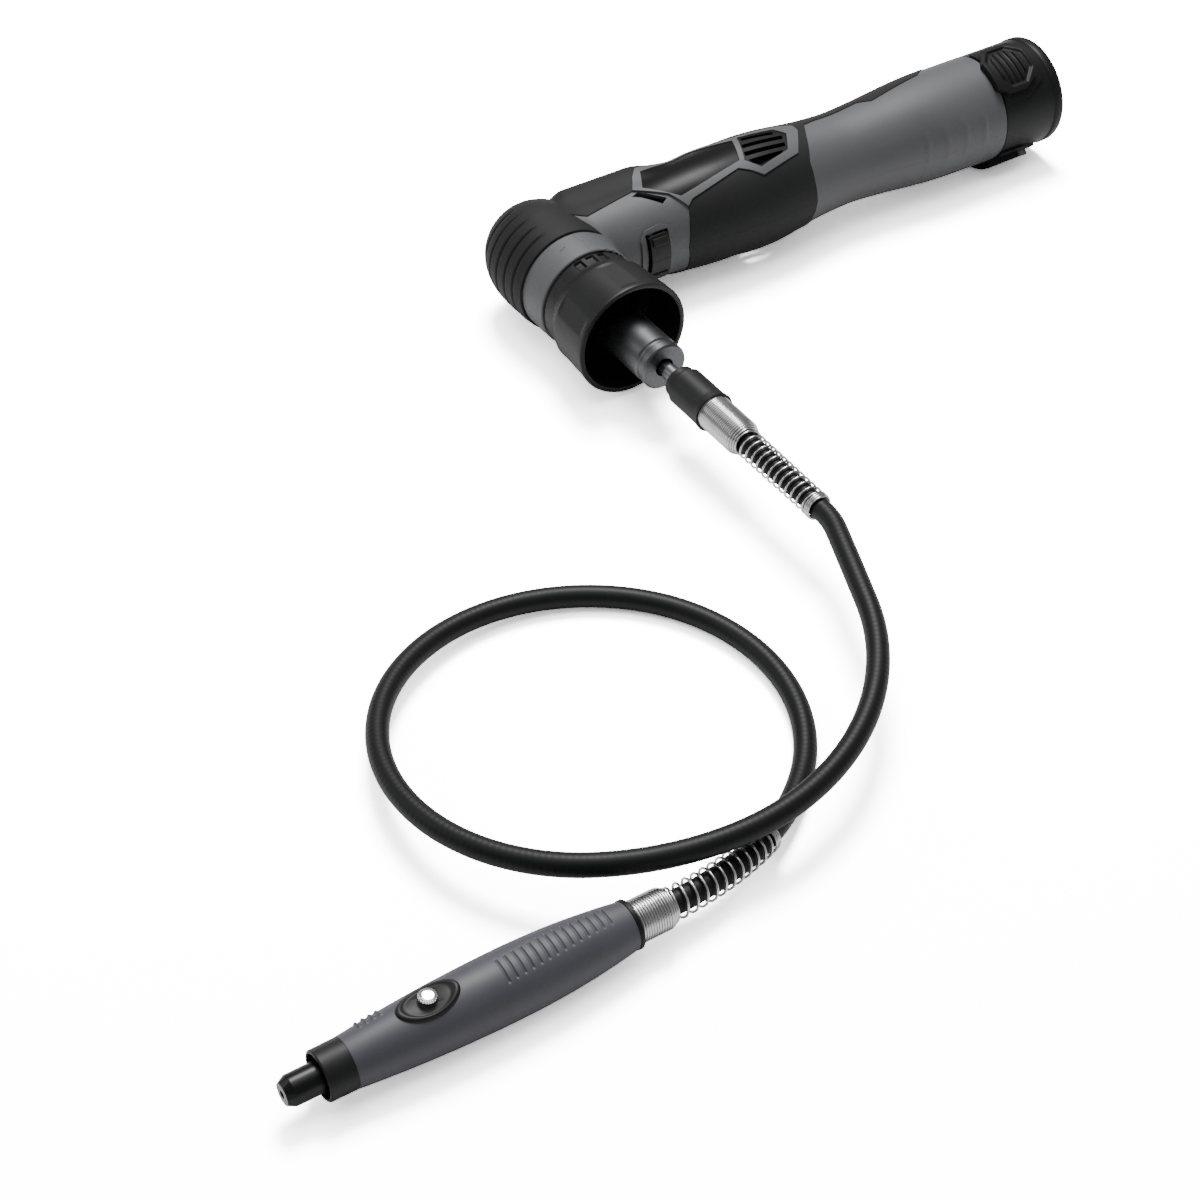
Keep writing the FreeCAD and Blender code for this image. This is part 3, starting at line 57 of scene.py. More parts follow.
AXIS_HEIGHT = 32.0
ORIGIN = np.array([19.1, 173.4, AXIS_HEIGHT])
HAND_HEIGHT = 14.0
HAND_X, HAND_Y, HAND_Z = -192.222, -363.385, HAND_HEIGHT - AXIS_HEIGHT


def row(points):
    """Tool-frame millimetres to row-frame metres."""
    return (np.asarray(points, float) + ORIGIN) * 0.001


# Materials.


def ramp(tree, fac, low, high, start=0.3, end=0.7):
    node = tree.nodes.new("ShaderNodeValToRGB")
    node.color_ramp.elements[0].position = start
    node.color_ramp.elements[1].position = end
    node.color_ramp.elements[0].color = (*low, 1)
    node.color_ramp.elements[1].color = (*high, 1)
    tree.links.new(fac, node.inputs["Fac"])
    return node.outputs["Color"]


def noise(tree, where, scale, detail=3.0, stretch=None):
    """A noise value over the object; stretch scales the three axes one by one."""
    if stretch:
        mapping = tree.nodes.new("ShaderNodeMapping")
        mapping.inputs["Scale"].default_value = stretch
        tree.links.new(where, mapping.inputs["Vector"])
        where = mapping.outputs["Vector"]
    node = tree.nodes.new("ShaderNodeTexNoise")
    node.inputs["Scale"].default_value = scale
    node.inputs["Detail"].default_value = detail
    tree.links.new(where, node.inputs["Vector"])
    return node.outputs["Fac"]


def spread(tree, fac, low, high):
    node = tree.nodes.new("ShaderNodeMapRange")
    node.inputs["To Min"].default_value = low
    node.inputs["To Max"].default_value = high
    tree.links.new(fac, node.inputs["Value"])
    return node.outputs["Result"]


def raised(tree, height, strength, distance, normal=None):
    node = tree.nodes.new("ShaderNodeBump")
    node.inputs["Strength"].default_value = strength
    node.inputs["Distance"].default_value = distance
    tree.links.new(height, node.inputs["Height"])
    if normal is not None:
        tree.links.new(normal, node.inputs["Normal"])
    return node.outputs["Normal"]


def surface(name, low, high, rough, metal=0.0, grain=2600, relief=0.25, depth=0.00006,
            edge=0.0003, stretch=None, cells=False, specular=0.5):
    """A procedural surface: colour and roughness vary with noise, and fine relief bumps it."""
    made = bpy.data.materials.new(name)
    made.use_nodes = True
    tree = made.node_tree
    shader = tree.nodes["Principled BSDF"]
    where = tree.nodes.new("ShaderNodeTexCoord").outputs["Object"]
    fine = noise(tree, where, grain, 4.0, stretch)
    broad = noise(tree, where, 38.0, 5.0)
    mix = tree.nodes.new("ShaderNodeMath")
    mix.operation = "MULTIPLY_ADD"
    mix.inputs[1].default_value = 0.45
    tree.links.new(fine, mix.inputs[0])
    tree.links.new(spread(tree, broad, 0.1, 0.45), mix.inputs[2])
    tree.links.new(ramp(tree, mix.outputs[0], low, high), shader.inputs["Base Color"])
    tree.links.new(spread(tree, broad, rough[0], rough[1]), shader.inputs["Roughness"])
    shader.inputs["Metallic"].default_value = metal
    shader.inputs["Specular IOR Level"].default_value = specular
    height = fine
    if cells:
        dots = tree.nodes.new("ShaderNodeTexVoronoi")
        dots.inputs["Scale"].default_value = grain * 0.45
        tree.links.new(where, dots.inputs["Vector"])
        height = dots.outputs["Distance"]
    normal = None
    if edge:
        soft = tree.nodes.new("ShaderNodeBevel")
        soft.samples = 4
        soft.inputs["Radius"].default_value = edge
        normal = soft.outputs["Normal"]
    tree.links.new(raised(tree, height, relief, depth, normal), shader.inputs["Normal"])
    return made


def grey(value, blue=1.0):
    return (value, value * (1 + 0.02 * blue), value * (1 + 0.07 * blue))


ALONG_Y = (1.0, 14.0, 1.0)
ALONG_X = (14.0, 1.0, 1.0)
MATERIALS = {
    "housing_grey": surface("housing_grey", grey(0.046), grey(0.062), (0.50, 0.62), specular=0.4),
    "handpiece_grey": surface("handpiece_grey", (0.0375, 0.0375, 0.0455), (0.0495, 0.0495, 0.0595),
                              (0.46, 0.60), specular=0.4),
    "soft_black": surface("soft_black", grey(0.004, 0), grey(0.009, 0), (0.60, 0.75), grain=3800,
                          relief=0.5, cells=True, edge=0.0005, specular=0.2),
    "badge_black": surface("badge_black", grey(0.002, 0), grey(0.004, 0), (0.28, 0.36),
                           relief=0.03, specular=0.12),
    "cup_black": surface("cup_black", grey(0.005, 0), grey(0.009, 0), (0.40, 0.52), relief=0.2,
                         specular=0.2),
    "battery_black": surface("battery_black", grey(0.004, 0), grey(0.008, 0), (0.40, 0.52),
                             specular=0.14),
    "sheath_black": surface("sheath_black", grey(0.003, 0), grey(0.006, 0), (0.42, 0.52),
                            grain=1400, relief=0.25, edge=0, specular=0.16),
    "bright_steel": surface("bright_steel", grey(0.11), grey(0.19), (0.30, 0.44), 1.0, 900,
                            0.25, 0.00002, 0.0003, ALONG_Y),
    "adapter_steel": surface("adapter_steel", grey(0.07), grey(0.12), (0.34, 0.46), 1.0, 900,
                             0.2, 0.00002, 0.0003, ALONG_Y),
    "spring_steel": surface("spring_steel", grey(0.42, 0), grey(0.58, 0), (0.16, 0.28), 1.0, 1200,
                            0.12, 0.00001, 0),
    "chrome_button": surface("chrome_button", grey(0.72, 0), grey(0.86, 0), (0.06, 0.16), 1.0,
                             1600, 0.08, 0.00001, 0.0002),
    "dark_steel": surface("dark_steel", grey(0.010, 0), grey(0.020, 0), (0.26, 0.38), 0.85, 900,
                          0.2, 0.00002, 0.0003, ALONG_X),
    "gear_steel": surface("gear_steel", grey(0.32), grey(0.46), (0.28, 0.42), 1.0, 900, 0.2),
    "bearing_steel": surface("bearing_steel", grey(0.40), grey(0.52), (0.2, 0.32), 1.0, 900, 0.1),
    "cast_alloy": surface("cast_alloy", grey(0.30), grey(0.42), (0.42, 0.58), 1.0, 700, 0.5),
    "motor_steel": surface("motor_steel", grey(0.28), grey(0.38), (0.3, 0.42), 1.0, 900, 0.15),
    "magnet_dark": surface("magnet_dark", grey(0.05, 0), grey(0.09, 0), (0.5, 0.7), 0.3, 700, 0.5),
    "rotor_core": surface("rotor_core", (0.30, 0.17, 0.08), (0.48, 0.30, 0.16), (0.3, 0.45), 0.9,
                          700, 0.4, stretch=ALONG_X),
    "fan_plastic": surface("fan_plastic", (0.60, 0.57, 0.50), (0.70, 0.67, 0.60), (0.4, 0.5)),
    "inner_plastic": surface("inner_plastic", grey(0.04), grey(0.06), (0.45, 0.6)),
    "board_green": surface("board_green", (0.012, 0.09, 0.04), (0.03, 0.15, 0.07), (0.25, 0.4)),
    "component_black": surface("component_black", grey(0.02), grey(0.04), (0.3, 0.4)),
    "contact_brass": surface("contact_brass", (0.55, 0.38, 0.14), (0.72, 0.52, 0.22), (0.2, 0.35), 1.0),
    "cell_wrap": surface("cell_wrap", (0.03, 0.14, 0.30), (0.06, 0.22, 0.42), (0.25, 0.35)),
    "screw_steel": surface("screw_steel", grey(0.25), grey(0.36), (0.3, 0.42), 1.0, 1200, 0.2),
}

SLOT_OF = {part["node"]: part["material_slot"] for part in frame["record"]["subparts"]}
SLOT_OF["shaft_adapter"] = "adapter_steel"
for node, thing in NODES.items():
    thing.data.materials.clear()
    thing.data.materials.append(MATERIALS[SLOT_OF[node]])


# Mesh building.


def piece(name, points, faces, slot, body, stands_for=()):
    """A mesh object from row-frame points, riding on a body (or loose, if body is None)."""
    mesh = bpy.data.meshes.new(name)
    mesh.from_pydata([tuple(p) for p in points], [], faces)
    mesh.validate()
    made = bpy.data.objects.new(name, mesh)
    bpy.context.scene.collection.objects.link(made)
    mesh.materials.append(MATERIALS[slot])
    mesh.shade_smooth()
    if stands_for:
        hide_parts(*stands_for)
    if body:
        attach(made, body)
    return made


def ring_faces(rings, sides, closed=True):
    """Quads between rows of points; closed joins the last column to the first."""
    columns = sides if closed else sides - 1
    faces = []
    for i in range(rings - 1):
        for j in range(columns):
            a, b = i * sides + j, i * sides + (j + 1) % sides
            faces.append((a, b, b + sides, a + sides))
    return faces


def sharp_edges(made, degrees=38):
    """Keeps edges sharper than the angle crisp while the rest is shaded smooth."""
    shape = bmesh.new()
    shape.from_mesh(made.data)
    bmesh.ops.recalc_face_normals(shape, faces=shape.faces)
    for edge in shape.edges:
        if len(edge.link_faces) == 2:
            edge.smooth = edge.calc_face_angle(0) < math.radians(degrees)
    shape.to_mesh(made.data)
    shape.free()
    return made


def tube(name, points, radii, sides, slot, body, stands_for=()):
    """A closed tube along points, with its own radius at each."""
    points = np.asarray(points, float)
    count = len(points)
    heading = np.gradient(points, axis=0)
    heading /= np.linalg.norm(heading, axis=1)[:, None]
    level = np.array([0.0, 0.0, 1.0])
    if abs(heading[0] @ level) > 0.9:
        level = np.array([1.0, 0.0, 0.0])
    side = np.cross(heading[0], level)
    side /= np.linalg.norm(side)
    turn = np.linspace(0, 2 * math.pi, sides, endpoint=False)
    rings = []
    for i in range(count):
        side = side - heading[i] * (side @ heading[i])
        side /= np.linalg.norm(side)
        rise = np.cross(side, heading[i])
        reach = np.outer(np.cos(turn), side) + np.outer(np.sin(turn), rise)
        rings.append(points[i] + reach * radii[i])
    flat = np.concatenate(rings + [points[:1], points[-1:]])
    faces = ring_faces(count, sides)
    first, last = count * sides, count * sides + 1
    base = (count - 1) * sides
    faces += [(first, (j + 1) % sides, j) for j in range(sides)]
    faces += [(last, base + j, base + (j + 1) % sides) for j in range(sides)]
    return sharp_edges(piece(name, row(flat), faces, slot, body, stands_for), 60)


def lathe(name, corners, centre, axis, slot, body, stands_for=(), sides=96, wave=None):
    """A turned piece: corners are (along, radius); wave gives what is added to the radius."""
    turn = np.linspace(0, 2 * math.pi, sides, endpoint=False)
    rings = []
    for along, radius in corners:
        reach = np.full(sides, float(radius))
        if wave is not None:
            reach = reach + wave(turn, along, radius)
        a, b = reach * np.cos(turn), reach * np.sin(turn)
        step = np.full(sides, float(along))
        rings.append(np.stack({"x": (step, a, b), "y": (b, step, a), "z": (a, b, step)}[axis], 1))
    points = np.concatenate(rings) + np.asarray(centre, float)
    return sharp_edges(piece(name, row(points), ring_faces(len(rings), sides), slot, body, stands_for))


# Flexible shaft.

TURNS = [(40.0, 20.5), (None, 45.5), (117.6, 101.5), (87.0, 283.6), (129.0, 44.4)]
LEVELS = [(0.0, AXIS_HEIGHT), (0.26, 25.2), (0.70, 5.3), (0.86, 5.3), (1.0, HAND_HEIGHT)]
LINE_STEP = 0.5
LINE_START = -223.0


def shaft_line():
    """Points along the shaft's middle from the drive spring's end to the handpiece's coil."""
    plan = []
    point = np.array([0.0, LINE_START])
    heading = -math.pi / 2
    for radius, amount in TURNS:
        length = amount if radius is None else radius * math.radians(amount)
        count = round(length / LINE_STEP)
        run = (np.arange(count) / count) * length
        if radius is None:
            way = np.array([math.cos(heading), math.sin(heading)])
            plan.append(point + run[:, None] * way)
            point = point + way * length
            continue
        centre = point + np.array([math.sin(heading), -math.cos(heading)]) * radius
        left = heading - run / radius
        plan.append(centre + np.stack([-np.sin(left), np.cos(left)], 1) * radius)
        heading -= math.radians(amount)
        point = centre + np.array([-math.sin(heading), math.cos(heading)]) * radius
    plan = np.concatenate(plan + [point[None]])
    run = np.concatenate([[0], np.cumsum(np.linalg.norm(np.diff(plan, axis=0), axis=1))])
    share = run / run[-1]
    height = np.zeros(len(plan))
    for (start, low), (end, high) in zip(LEVELS, LEVELS[1:]):
        here = (share >= start) & (share <= end)
        ease = (share[here] - start) / (end - start)
        height[here] = low + (high - low) * ease * ease * (3 - 2 * ease)
    return np.column_stack([plan, height - AXIS_HEIGHT])


def along_spindle(start, count):
    """Points down the spindle's axis from start."""
    return np.column_stack([np.zeros(count), start - np.arange(count) * LINE_STEP, np.zeros(count)])


def into_hand(count):
    """Points that carry the shaft's line on into the handpiece."""
    return LINE[-1] - np.arange(1, count + 1)[:, None] * np.array([LINE_STEP, 0, 0])


LINE = shaft_line()
BEND_RUN = 130
SHEATH_RADIUS, BRAID_RELIEF, BRAID_PITCH = 4.97, 0.025, 2.6


def sheath_radius(count):
    """Faint rings of the wire braid under the sheath."""
    wave = np.cos(np.arange(count) * LINE_STEP * 2 * math.pi / BRAID_PITCH)
    return SHEATH_RADIUS + BRAID_RELIEF * wave


main_line = np.concatenate([along_spindle(-150.0, 146), LINE[:-BEND_RUN]])
end_line = np.concatenate([LINE[-BEND_RUN - 2:], into_hand(52)])
tube("sheath_tube", main_line, sheath_radius(len(main_line)), 28, "sheath_black", "flex_shaft",
     ["sheath"])
sheath_end = tube("sheath_hand_end", end_line, sheath_radius(len(end_line)), 28, "sheath_black", None)
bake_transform(sheath_end)

# The drive core runs inside the sheath, from the coupling to the spindle of the handpiece.
CORE_RADIUS = 2.6
core_line = np.concatenate([along_spindle(-134.0, 178), LINE[:-BEND_RUN]])
tube("core_tube", core_line, np.full(len(core_line), CORE_RADIUS), 12, "bright_steel", "flex_shaft",
     ["inner_core"])
core_line = np.concatenate([LINE[-BEND_RUN - 2:], into_hand(132)])
core_end = tube("core_hand_end", core_line, np.full(len(core_line), CORE_RADIUS), 12,
                "bright_steel", None)
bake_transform(core_end)


WIRE = 1.1
CLOSE_PITCH = 1.15
COIL_STEPS = 16
COIL_SIDES = 10


def coil(name, line, sections, body, stands_for):
    """A coil round a line of evenly spaced points; sections are (length, pitch, end radius)."""
    line = np.asarray(line, float)
    heading = np.gradient(line, axis=0)
    heading /= np.linalg.norm(heading, axis=1)[:, None]
    points = []
    turn = run = 0.0
    radius = sections[0][2]
    for length, pitch, end_radius in sections:
        count = round(length / pitch * COIL_STEPS)
        for step in range(count):
            share = step / count
            reach = radius + (end_radius - radius) * share - WIRE / 2
            place = (run + length * share) / LINE_STEP
            i = min(int(place), len(line) - 2)
            centre = line[i] + (line[i + 1] - line[i]) * (place - i)
            side = np.cross(heading[i], [0, 0, 1.0])
            side /= np.linalg.norm(side)
            rise = np.cross(side, heading[i])
            points.append(centre + (side * math.cos(turn) + rise * math.sin(turn)) * reach)
            turn += 2 * math.pi / COIL_STEPS
        run += length
        radius = end_radius
    return tube(name, points, [WIRE / 2] * len(points), COIL_SIDES, "spring_steel", body,
                stands_for)


coil("drive_coil", along_spindle(-136.8, 200),
     [(26, CLOSE_PITCH, 8.8), (4, CLOSE_PITCH, 7.0), (51, 4.2, 6.6), (3.6, CLOSE_PITCH, 6.6)],
     "flex_shaft", ["drive_spring"])
hand_line = np.concatenate([into_hand(33)[::-1], LINE[::-1][:260]])
hand_coil = coil("hand_coil", hand_line,
                 [(14, CLOSE_PITCH, 8.8), (3.4, CLOSE_PITCH, 7.2), (53, 4.6, 6.6),
                  (3.6, CLOSE_PITCH, 6.6)],
                 None, ["hand_spring"])
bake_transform(hand_coil)


# Skin of the tool's body, as a height over the barrel's axis.

BARREL = [(-40, 24.8), (60, 24.8), (75, 26.0), (90, 27.3), (105, 27.9), (120, 28.1), (135, 27.0),
          (150, 24.9), (172, 23.4), (195, 25.0), (210, 26.6), (225, 27.7), (240, 28.0), (300, 28.0)]


def smoothed(values, reach, spread_by):
    """Values at even steps, averaged with their neighbours up to reach steps away."""
    kernel = np.exp(-0.5 * (np.arange(-reach, reach + 1) / spread_by) ** 2)
    return np.convolve(np.pad(values, reach, mode="edge"), kernel / kernel.sum(), mode="valid")


BARREL_X = np.arange(-60, 321, 1.0)
BARREL_RADIUS = smoothed(np.interp(BARREL_X, *zip(*BARREL)), 12, 5.0)

# The head's ring: its radius, how far forward it reaches, and the round where it meets the barrel.
HEAD_RADIUS = 26.2
HEAD_FRONT = 34.9
MEETING_ROUND = 5.5
HUMP_RISE = 6.0
# Least sine or cosine to divide by.
LEAST = 0.02


def smooth_step(value, start, end):
    share = np.clip((value - start) / (end - start), 0, 1)
    return share * share * (3 - 2 * share)


def smooth_max(a, b, soft):
    share = np.clip(0.5 + 0.5 * (a - b) / soft, 0, 1)
    return b + (a - b) * share + soft * share * (1 - share)


def skin_radius(x, turn):
    """Distance of the skin from the barrel's axis; turn is degrees from +Z towards -Y."""
    base = np.interp(x, BARREL_X, BARREL_RADIUS)
    spine = smooth_step(-turn, 4, 42)
    hump = HUMP_RISE * smooth_step(x, 4, 20) * (1 - smooth_step(x, 56, 80))
    base = base + spine * hump
    angle = np.radians(turn)
    head = np.maximum(HEAD_RADIUS**2 - x**2, 0)
    up = np.sqrt(head) / np.maximum(np.cos(angle), LEAST)
    out = HEAD_FRONT / np.maximum(np.abs(np.sin(angle)), LEAST)
    ring = np.minimum(up, out) * (0.5 + 0.5 * smooth_step(turn, -55, -8))
    return smooth_max(ring, base, MEETING_ROUND)


def on_skin(x, turn, lift):
    angle = np.radians(turn)
    reach = skin_radius(x, turn) + lift
    return np.stack([x, -reach * np.sin(angle), reach * np.cos(angle)], -1)


# Millimetres along the skin for each degree round it, for a plan laid out flat.
ARC = 0.47


def inside(points, polygon):
    """Which points lie in a polygon, by counting crossings."""
    found = np.zeros(len(points), bool)
    px, py = points[:, 0], points[:, 1]
    for (ax, ay), (bx, by) in zip(polygon, polygon[1:] + polygon[:1]):
        crosses = (ay > py) != (by > py)
        with np.errstate(divide="ignore", invalid="ignore"):
            at = ax + (py - ay) * (bx - ax) / (by - ay)
        found ^= crosses & (px < at)
    return found


def crosses_box(face, ax, ay, bx, by, step):
    """Whether a plan face lies near the segment a to b."""
    spot = face.calc_center_median()
    reach = max(step) + 1
    return (min(ax, bx) - reach < spot.x < max(ax, bx) + reach
            and min(ay, by) - reach < spot.y < max(ay, by) + reach)


def skin_piece(name, outline, holes, lift, depth, slot, body, stands_for=(), step=(2.2, 3.0),
               upper=True, round_over=0.35, shape=None):
    """A plate that follows the skin. Outline and holes are (x, degrees) corners; lift is how far
    its face stands off the skin, and depth how far its edge reaches below that."""
    loops = [[(x, a * ARC) for x, a in loop] for loop in [outline, *holes]]
    low = np.min(loops[0], axis=0)
    high = np.max(loops[0], axis=0)
    plan = bmesh.new()
    columns = max(2, int(math.ceil((high[0] - low[0]) / step[0])) + 1)
    rows = max(2, int(math.ceil((high[1] - low[1]) / (step[1] * ARC))) + 1)
    xs = np.linspace(low[0], high[0], columns)
    ys = np.linspace(low[1], high[1], rows)
    grid = [[plan.verts.new((x, y, 0)) for y in ys] for x in xs]
    for i in range(columns - 1):
        for j in range(rows - 1):
            plan.faces.new((grid[i][j], grid[i + 1][j], grid[i + 1][j + 1], grid[i][j + 1]))
    for loop in loops:
        for (ax, ay), (bx, by) in zip(loop, loop[1:] + loop[:1]):
            near = [f for f in plan.faces if crosses_box(f, ax, ay, bx, by, step)]
            parts = set(near)
            for f in near:
                parts.update(f.edges)
                parts.update(f.verts)
            normal = Vector((by - ay, ax - bx, 0))
            if normal.length > 1e-6 and near:
                bmesh.ops.bisect_plane(plan, geom=list(parts), dist=0.02, plane_co=(ax, ay, 0),
                                       plane_no=normal.normalized())
    centres = np.array([f.calc_center_median()[:2] for f in plan.faces])
    keep = inside(centres, loops[0])
    for hole in loops[1:]:
        keep &= ~inside(centres, hole)
    gone = [f for f, kept in zip(list(plan.faces), keep) if not kept]
    bmesh.ops.delete(plan, geom=gone, context="FACES")
    bmesh.ops.remove_doubles(plan, verts=plan.verts, dist=0.08)
    top = list(plan.faces)
    made = bmesh.ops.extrude_face_region(plan, geom=top)
    below = {v for v in made["geom"] if isinstance(v, bmesh.types.BMVert)}
    verts = list(plan.verts)
    flat = np.array([v.co[:2] for v in verts])
    rise = np.array([lift - depth if v in below else lift for v in verts])
    if shape is not None:
        extra = shape(flat[:, 0], flat[:, 1] / ARC)
        rise = rise + np.where([v in below for v in verts], 0.0, extra)
    spots = on_skin(flat[:, 0], flat[:, 1] / ARC, rise)
    if not upper:
        spots[:, 2] *= -1
    for v, spot in zip(verts, row(spots)):
        v.co = spot
    bmesh.ops.recalc_face_normals(plan, faces=plan.faces)
    mesh = bpy.data.meshes.new(name)
    plan.to_mesh(mesh)
    plan.free()
    mesh.materials.append(MATERIALS[slot])
    mesh.shade_smooth()
    item = bpy.data.objects.new(name, mesh)
    bpy.context.scene.collection.objects.link(item)
    sharp_edges(item, 40)
    if round_over:
        bevel = item.modifiers.new("round_over", "BEVEL")
        bevel.width = round_over * 0.001
        bevel.segments = 3
        bevel.limit_method = "ANGLE"
        bevel.angle_limit = math.radians(50)
        bevel.use_clamp_overlap = True
        bevel.harden_normals = False
    if stands_for:
        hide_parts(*stands_for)
    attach(item, body)
    return item


# Outlines on the upper half of the skin, as (x, degrees) corners. The lower half mirrors them.
SHELL_EDGE = [(2, -90), (262, -90), (262, 90), (2, 90)]
OVERMOULD = [(4, -90), (4, 2), (9.5, 6), (17.8, 15), (30, 10), (47, 3), (53.5, -12), (62, 22),
             (68.9, 44), (66.5, 66), (64.9, 90), (141.9, 90), (141.2, 68), (141.5, 45),
             (148, 14), (153.4, -8), (160.9, -12), (189, -17), (195.5, -6.5), (212, -11.5),
             (229, -17), (238, -34), (240, -90)]
BADGE = [(58.7, -20), (52.3, 5), (67.2, 32), (104.8, 19), (110.9, -12), (89, -26)]
VENT = [(114.5, -14), (134.5, -9), (138.5, 4), (132.5, 25), (113.6, 33.5), (107.2, 21)]
FRAME = [(47, 3), (53.0, -17), (58.0, -27), (89, -33.5), (113, -18.5), (138, -15.5), (146.5, -9),
         (146.0, 3), (137.0, 32), (113.2, 42), (107.5, 33), (101.8, 26.5), (72, 39), (68.5, 45),
         (62, 24)]
SLOTS = [[(115.0, -6.5), (115.8, -12.0), (133.2, -6.5), (132.4, -1.2)],
         [(111.5, 5.4), (112.3, 0.0), (135.6, 4.2), (134.6, 9.6)],
         [(109.4, 16.2), (110.2, 10.8), (133.8, 15.0), (132.8, 19.8)],
         [(110.6, 26.4), (109.6, 21.6), (130.0, 23.6), (128.8, 26.6), (114.2, 31.0)]]
TRIGGER_GAP = [(41.0, 59.0), (53.8, 59.0), (53.8, 96), (41.0, 96)]
FRONT_SLOT = [(44.8, 10), (49.0, 6.5), (60.6, 27), (57.0, 32), (48.5, 15)]
GRIP_RIBS = (212.0, 224.0, 236.0, 248.0)


def grip_ribs(x, turn):
    """Four faint ribs across the lower part of the grip."""
    rise = sum(np.exp(-(((x - spot) / 1.5) ** 2)) for spot in GRIP_RIBS)
    return 0.55 * rise * smooth_step(turn, 52, 68)


def tool_body():
    for upper in (True, False):
        half = "upper" if upper else "lower"
        skin_piece(f"shell_{half}", SHELL_EDGE, [FRONT_SLOT, TRIGGER_GAP, VENT], 0, 2.4,
                   "housing_grey", "tool", [f"housing_{half}"], (1.1, 2.5), upper, 0, grip_ribs)
        skin_piece(f"overmould_{half}", OVERMOULD, [VENT], 0.45, 1.6, "soft_black", "tool",
                   [f"side_pad_{half}", f"spine_pad_{half}"], (1.8, 2.5), upper, 0.3)
        skin_piece(f"frame_{half}", FRAME, [BADGE, VENT], 1.15, 2.2, "housing_grey", "tool",
                   (), (1.8, 2.5), upper, 0.45)
        skin_piece(f"badge_{half}", BADGE, [], 0.75, 1.6, "badge_black", "tool",
                   [f"badge_plate_{half}"], (1.8, 2.5), upper, 0.3)
        skin_piece(f"vent_grille_{half}", VENT, SLOTS, 0.55, 3.0, "battery_black", "tool",
                   (), (1.6, 2.5), upper, 0.25)


TRIGGER_FACE = [(41.9, 63.5), (43.4, 61.5), (51.6, 61.5), (53.0, 63.5), (53.0, 90), (41.9, 90)]
TRIGGER_LIP = [(38.0, 64), (41.5, 54), (50, 51.5), (56.8, 58), (57.4, 90), (37.4, 90)]
TRIGGER_BAR = [(43.2, 65), (51.8, 65), (51.8, 73), (43.2, 73)]


def press_bar():
    """The trigger's face with a raised step at each end, and the lip of the housing round it."""
    for upper in (True, False):
        half = "upper" if upper else "lower"
        skin_piece(f"trigger_{half}", TRIGGER_FACE, [], 2.6, 4.8, "cup_black", "trigger",
                   ["trigger"], (1.2, 2.5), upper, 0.9)
        skin_piece(f"trigger_step_{half}", TRIGGER_BAR, [], 3.3, 2.0, "cup_black", "trigger",
                   (), (1.2, 2.5), upper, 0.3)
        skin_piece(f"trigger_lip_{half}", TRIGGER_LIP, [TRIGGER_GAP], 0.9, 2.4, "housing_grey",
                   "tool", (), (1.2, 2.5), upper, 0.7)


tool_body()
press_bar()


# Head: domed cover with rib grooves, and the ring in front of it.

DOME = [(-17.2, 27.3), (-12, 27.8), (-4, 28.0), (4, 28.0), (10, 27.5), (15, 26.4), (20, 24.6),
        (24, 22.3), (27, 19.9), (29.5, 16.8), (31.2, 13.2), (32.2, 8.5), (32.6, 3.5), (32.7, 0.02)]
GROOVES = (18.0, 11.0, 4.0, -3.2, -10.4)


def head_pieces():
    crown = 30.4 + 2.3 * np.sin(np.linspace(0.04, 1.57, 24))
    along = np.concatenate([np.linspace(-17.2, 30.4, 190), crown])
    radius = np.interp(along, *zip(*DOME))
    smooth = smoothed(radius, 6, 3.0)
    smooth[-3:] = radius[-3:]

    def ribs(turn, y, _):
        # turn 0 is +Z and a quarter turn is +X; the grooves lie on the side away from the barrel
        side = smooth_step(-np.sin(turn), 0.30, 0.48)
        depth = sum(math.exp(-(((y - spot) / 0.6) ** 2)) for spot in GROOVES)
        return -1.0 * depth * side

    corners = [(-17.2, 25.0), (-17.6, 26.6), *zip(along, smooth)]
    lathe("head_dome", corners, (0, 0, 0), "y", "soft_black", "tool", ["head_cover"], 200, ribs)
    ring = [(-34.9, 20.0), (-34.9, 25.6), (-34.4, 26.1), (-28, 26.2), (-18, 26.1), (-8, 26.0),
            (0, 24.0)]
    lathe("head_ring", ring, (0, 0, 0), "y", "housing_grey", "tool", (), 160)


head_pieces()


# Guard cup, with slots in the top of its rear edge and faint flats round its bell.

CUP = [(-38.2, 17.2), (-35.2, 17.2), (-35.2, 24.4), (-35.6, 25.0), (-36.4, 25.3), (-43.6, 25.3),
       (-45.0, 25.9), (-47.0, 27.1), (-48.6, 27.9), (-52.0, 28.15), (-70.5, 29.2), (-73.2, 29.3),
       (-73.8, 29.1), (-74.0, 28.6), (-74.0, 27.2), (-73.8, 26.8), (-73.2, 26.7), (-50, 25.5),
       (-45, 22.5), (-38.2, 22.5), (-38.2, 17.2)]
CUP_SLOTS = (-17, -2, 13)


def dense(corners, step):
    """Corners with points added so that no two lie further apart than step."""
    found = [corners[0]]
    for (ax, ay), (bx, by) in zip(corners, corners[1:]):
        count = max(1, math.ceil(math.hypot(bx - ax, by - ay) / step))
        found += [(ax + (bx - ax) * i / count, ay + (by - ay) * i / count) for i in range(1, count + 1)]
    return found


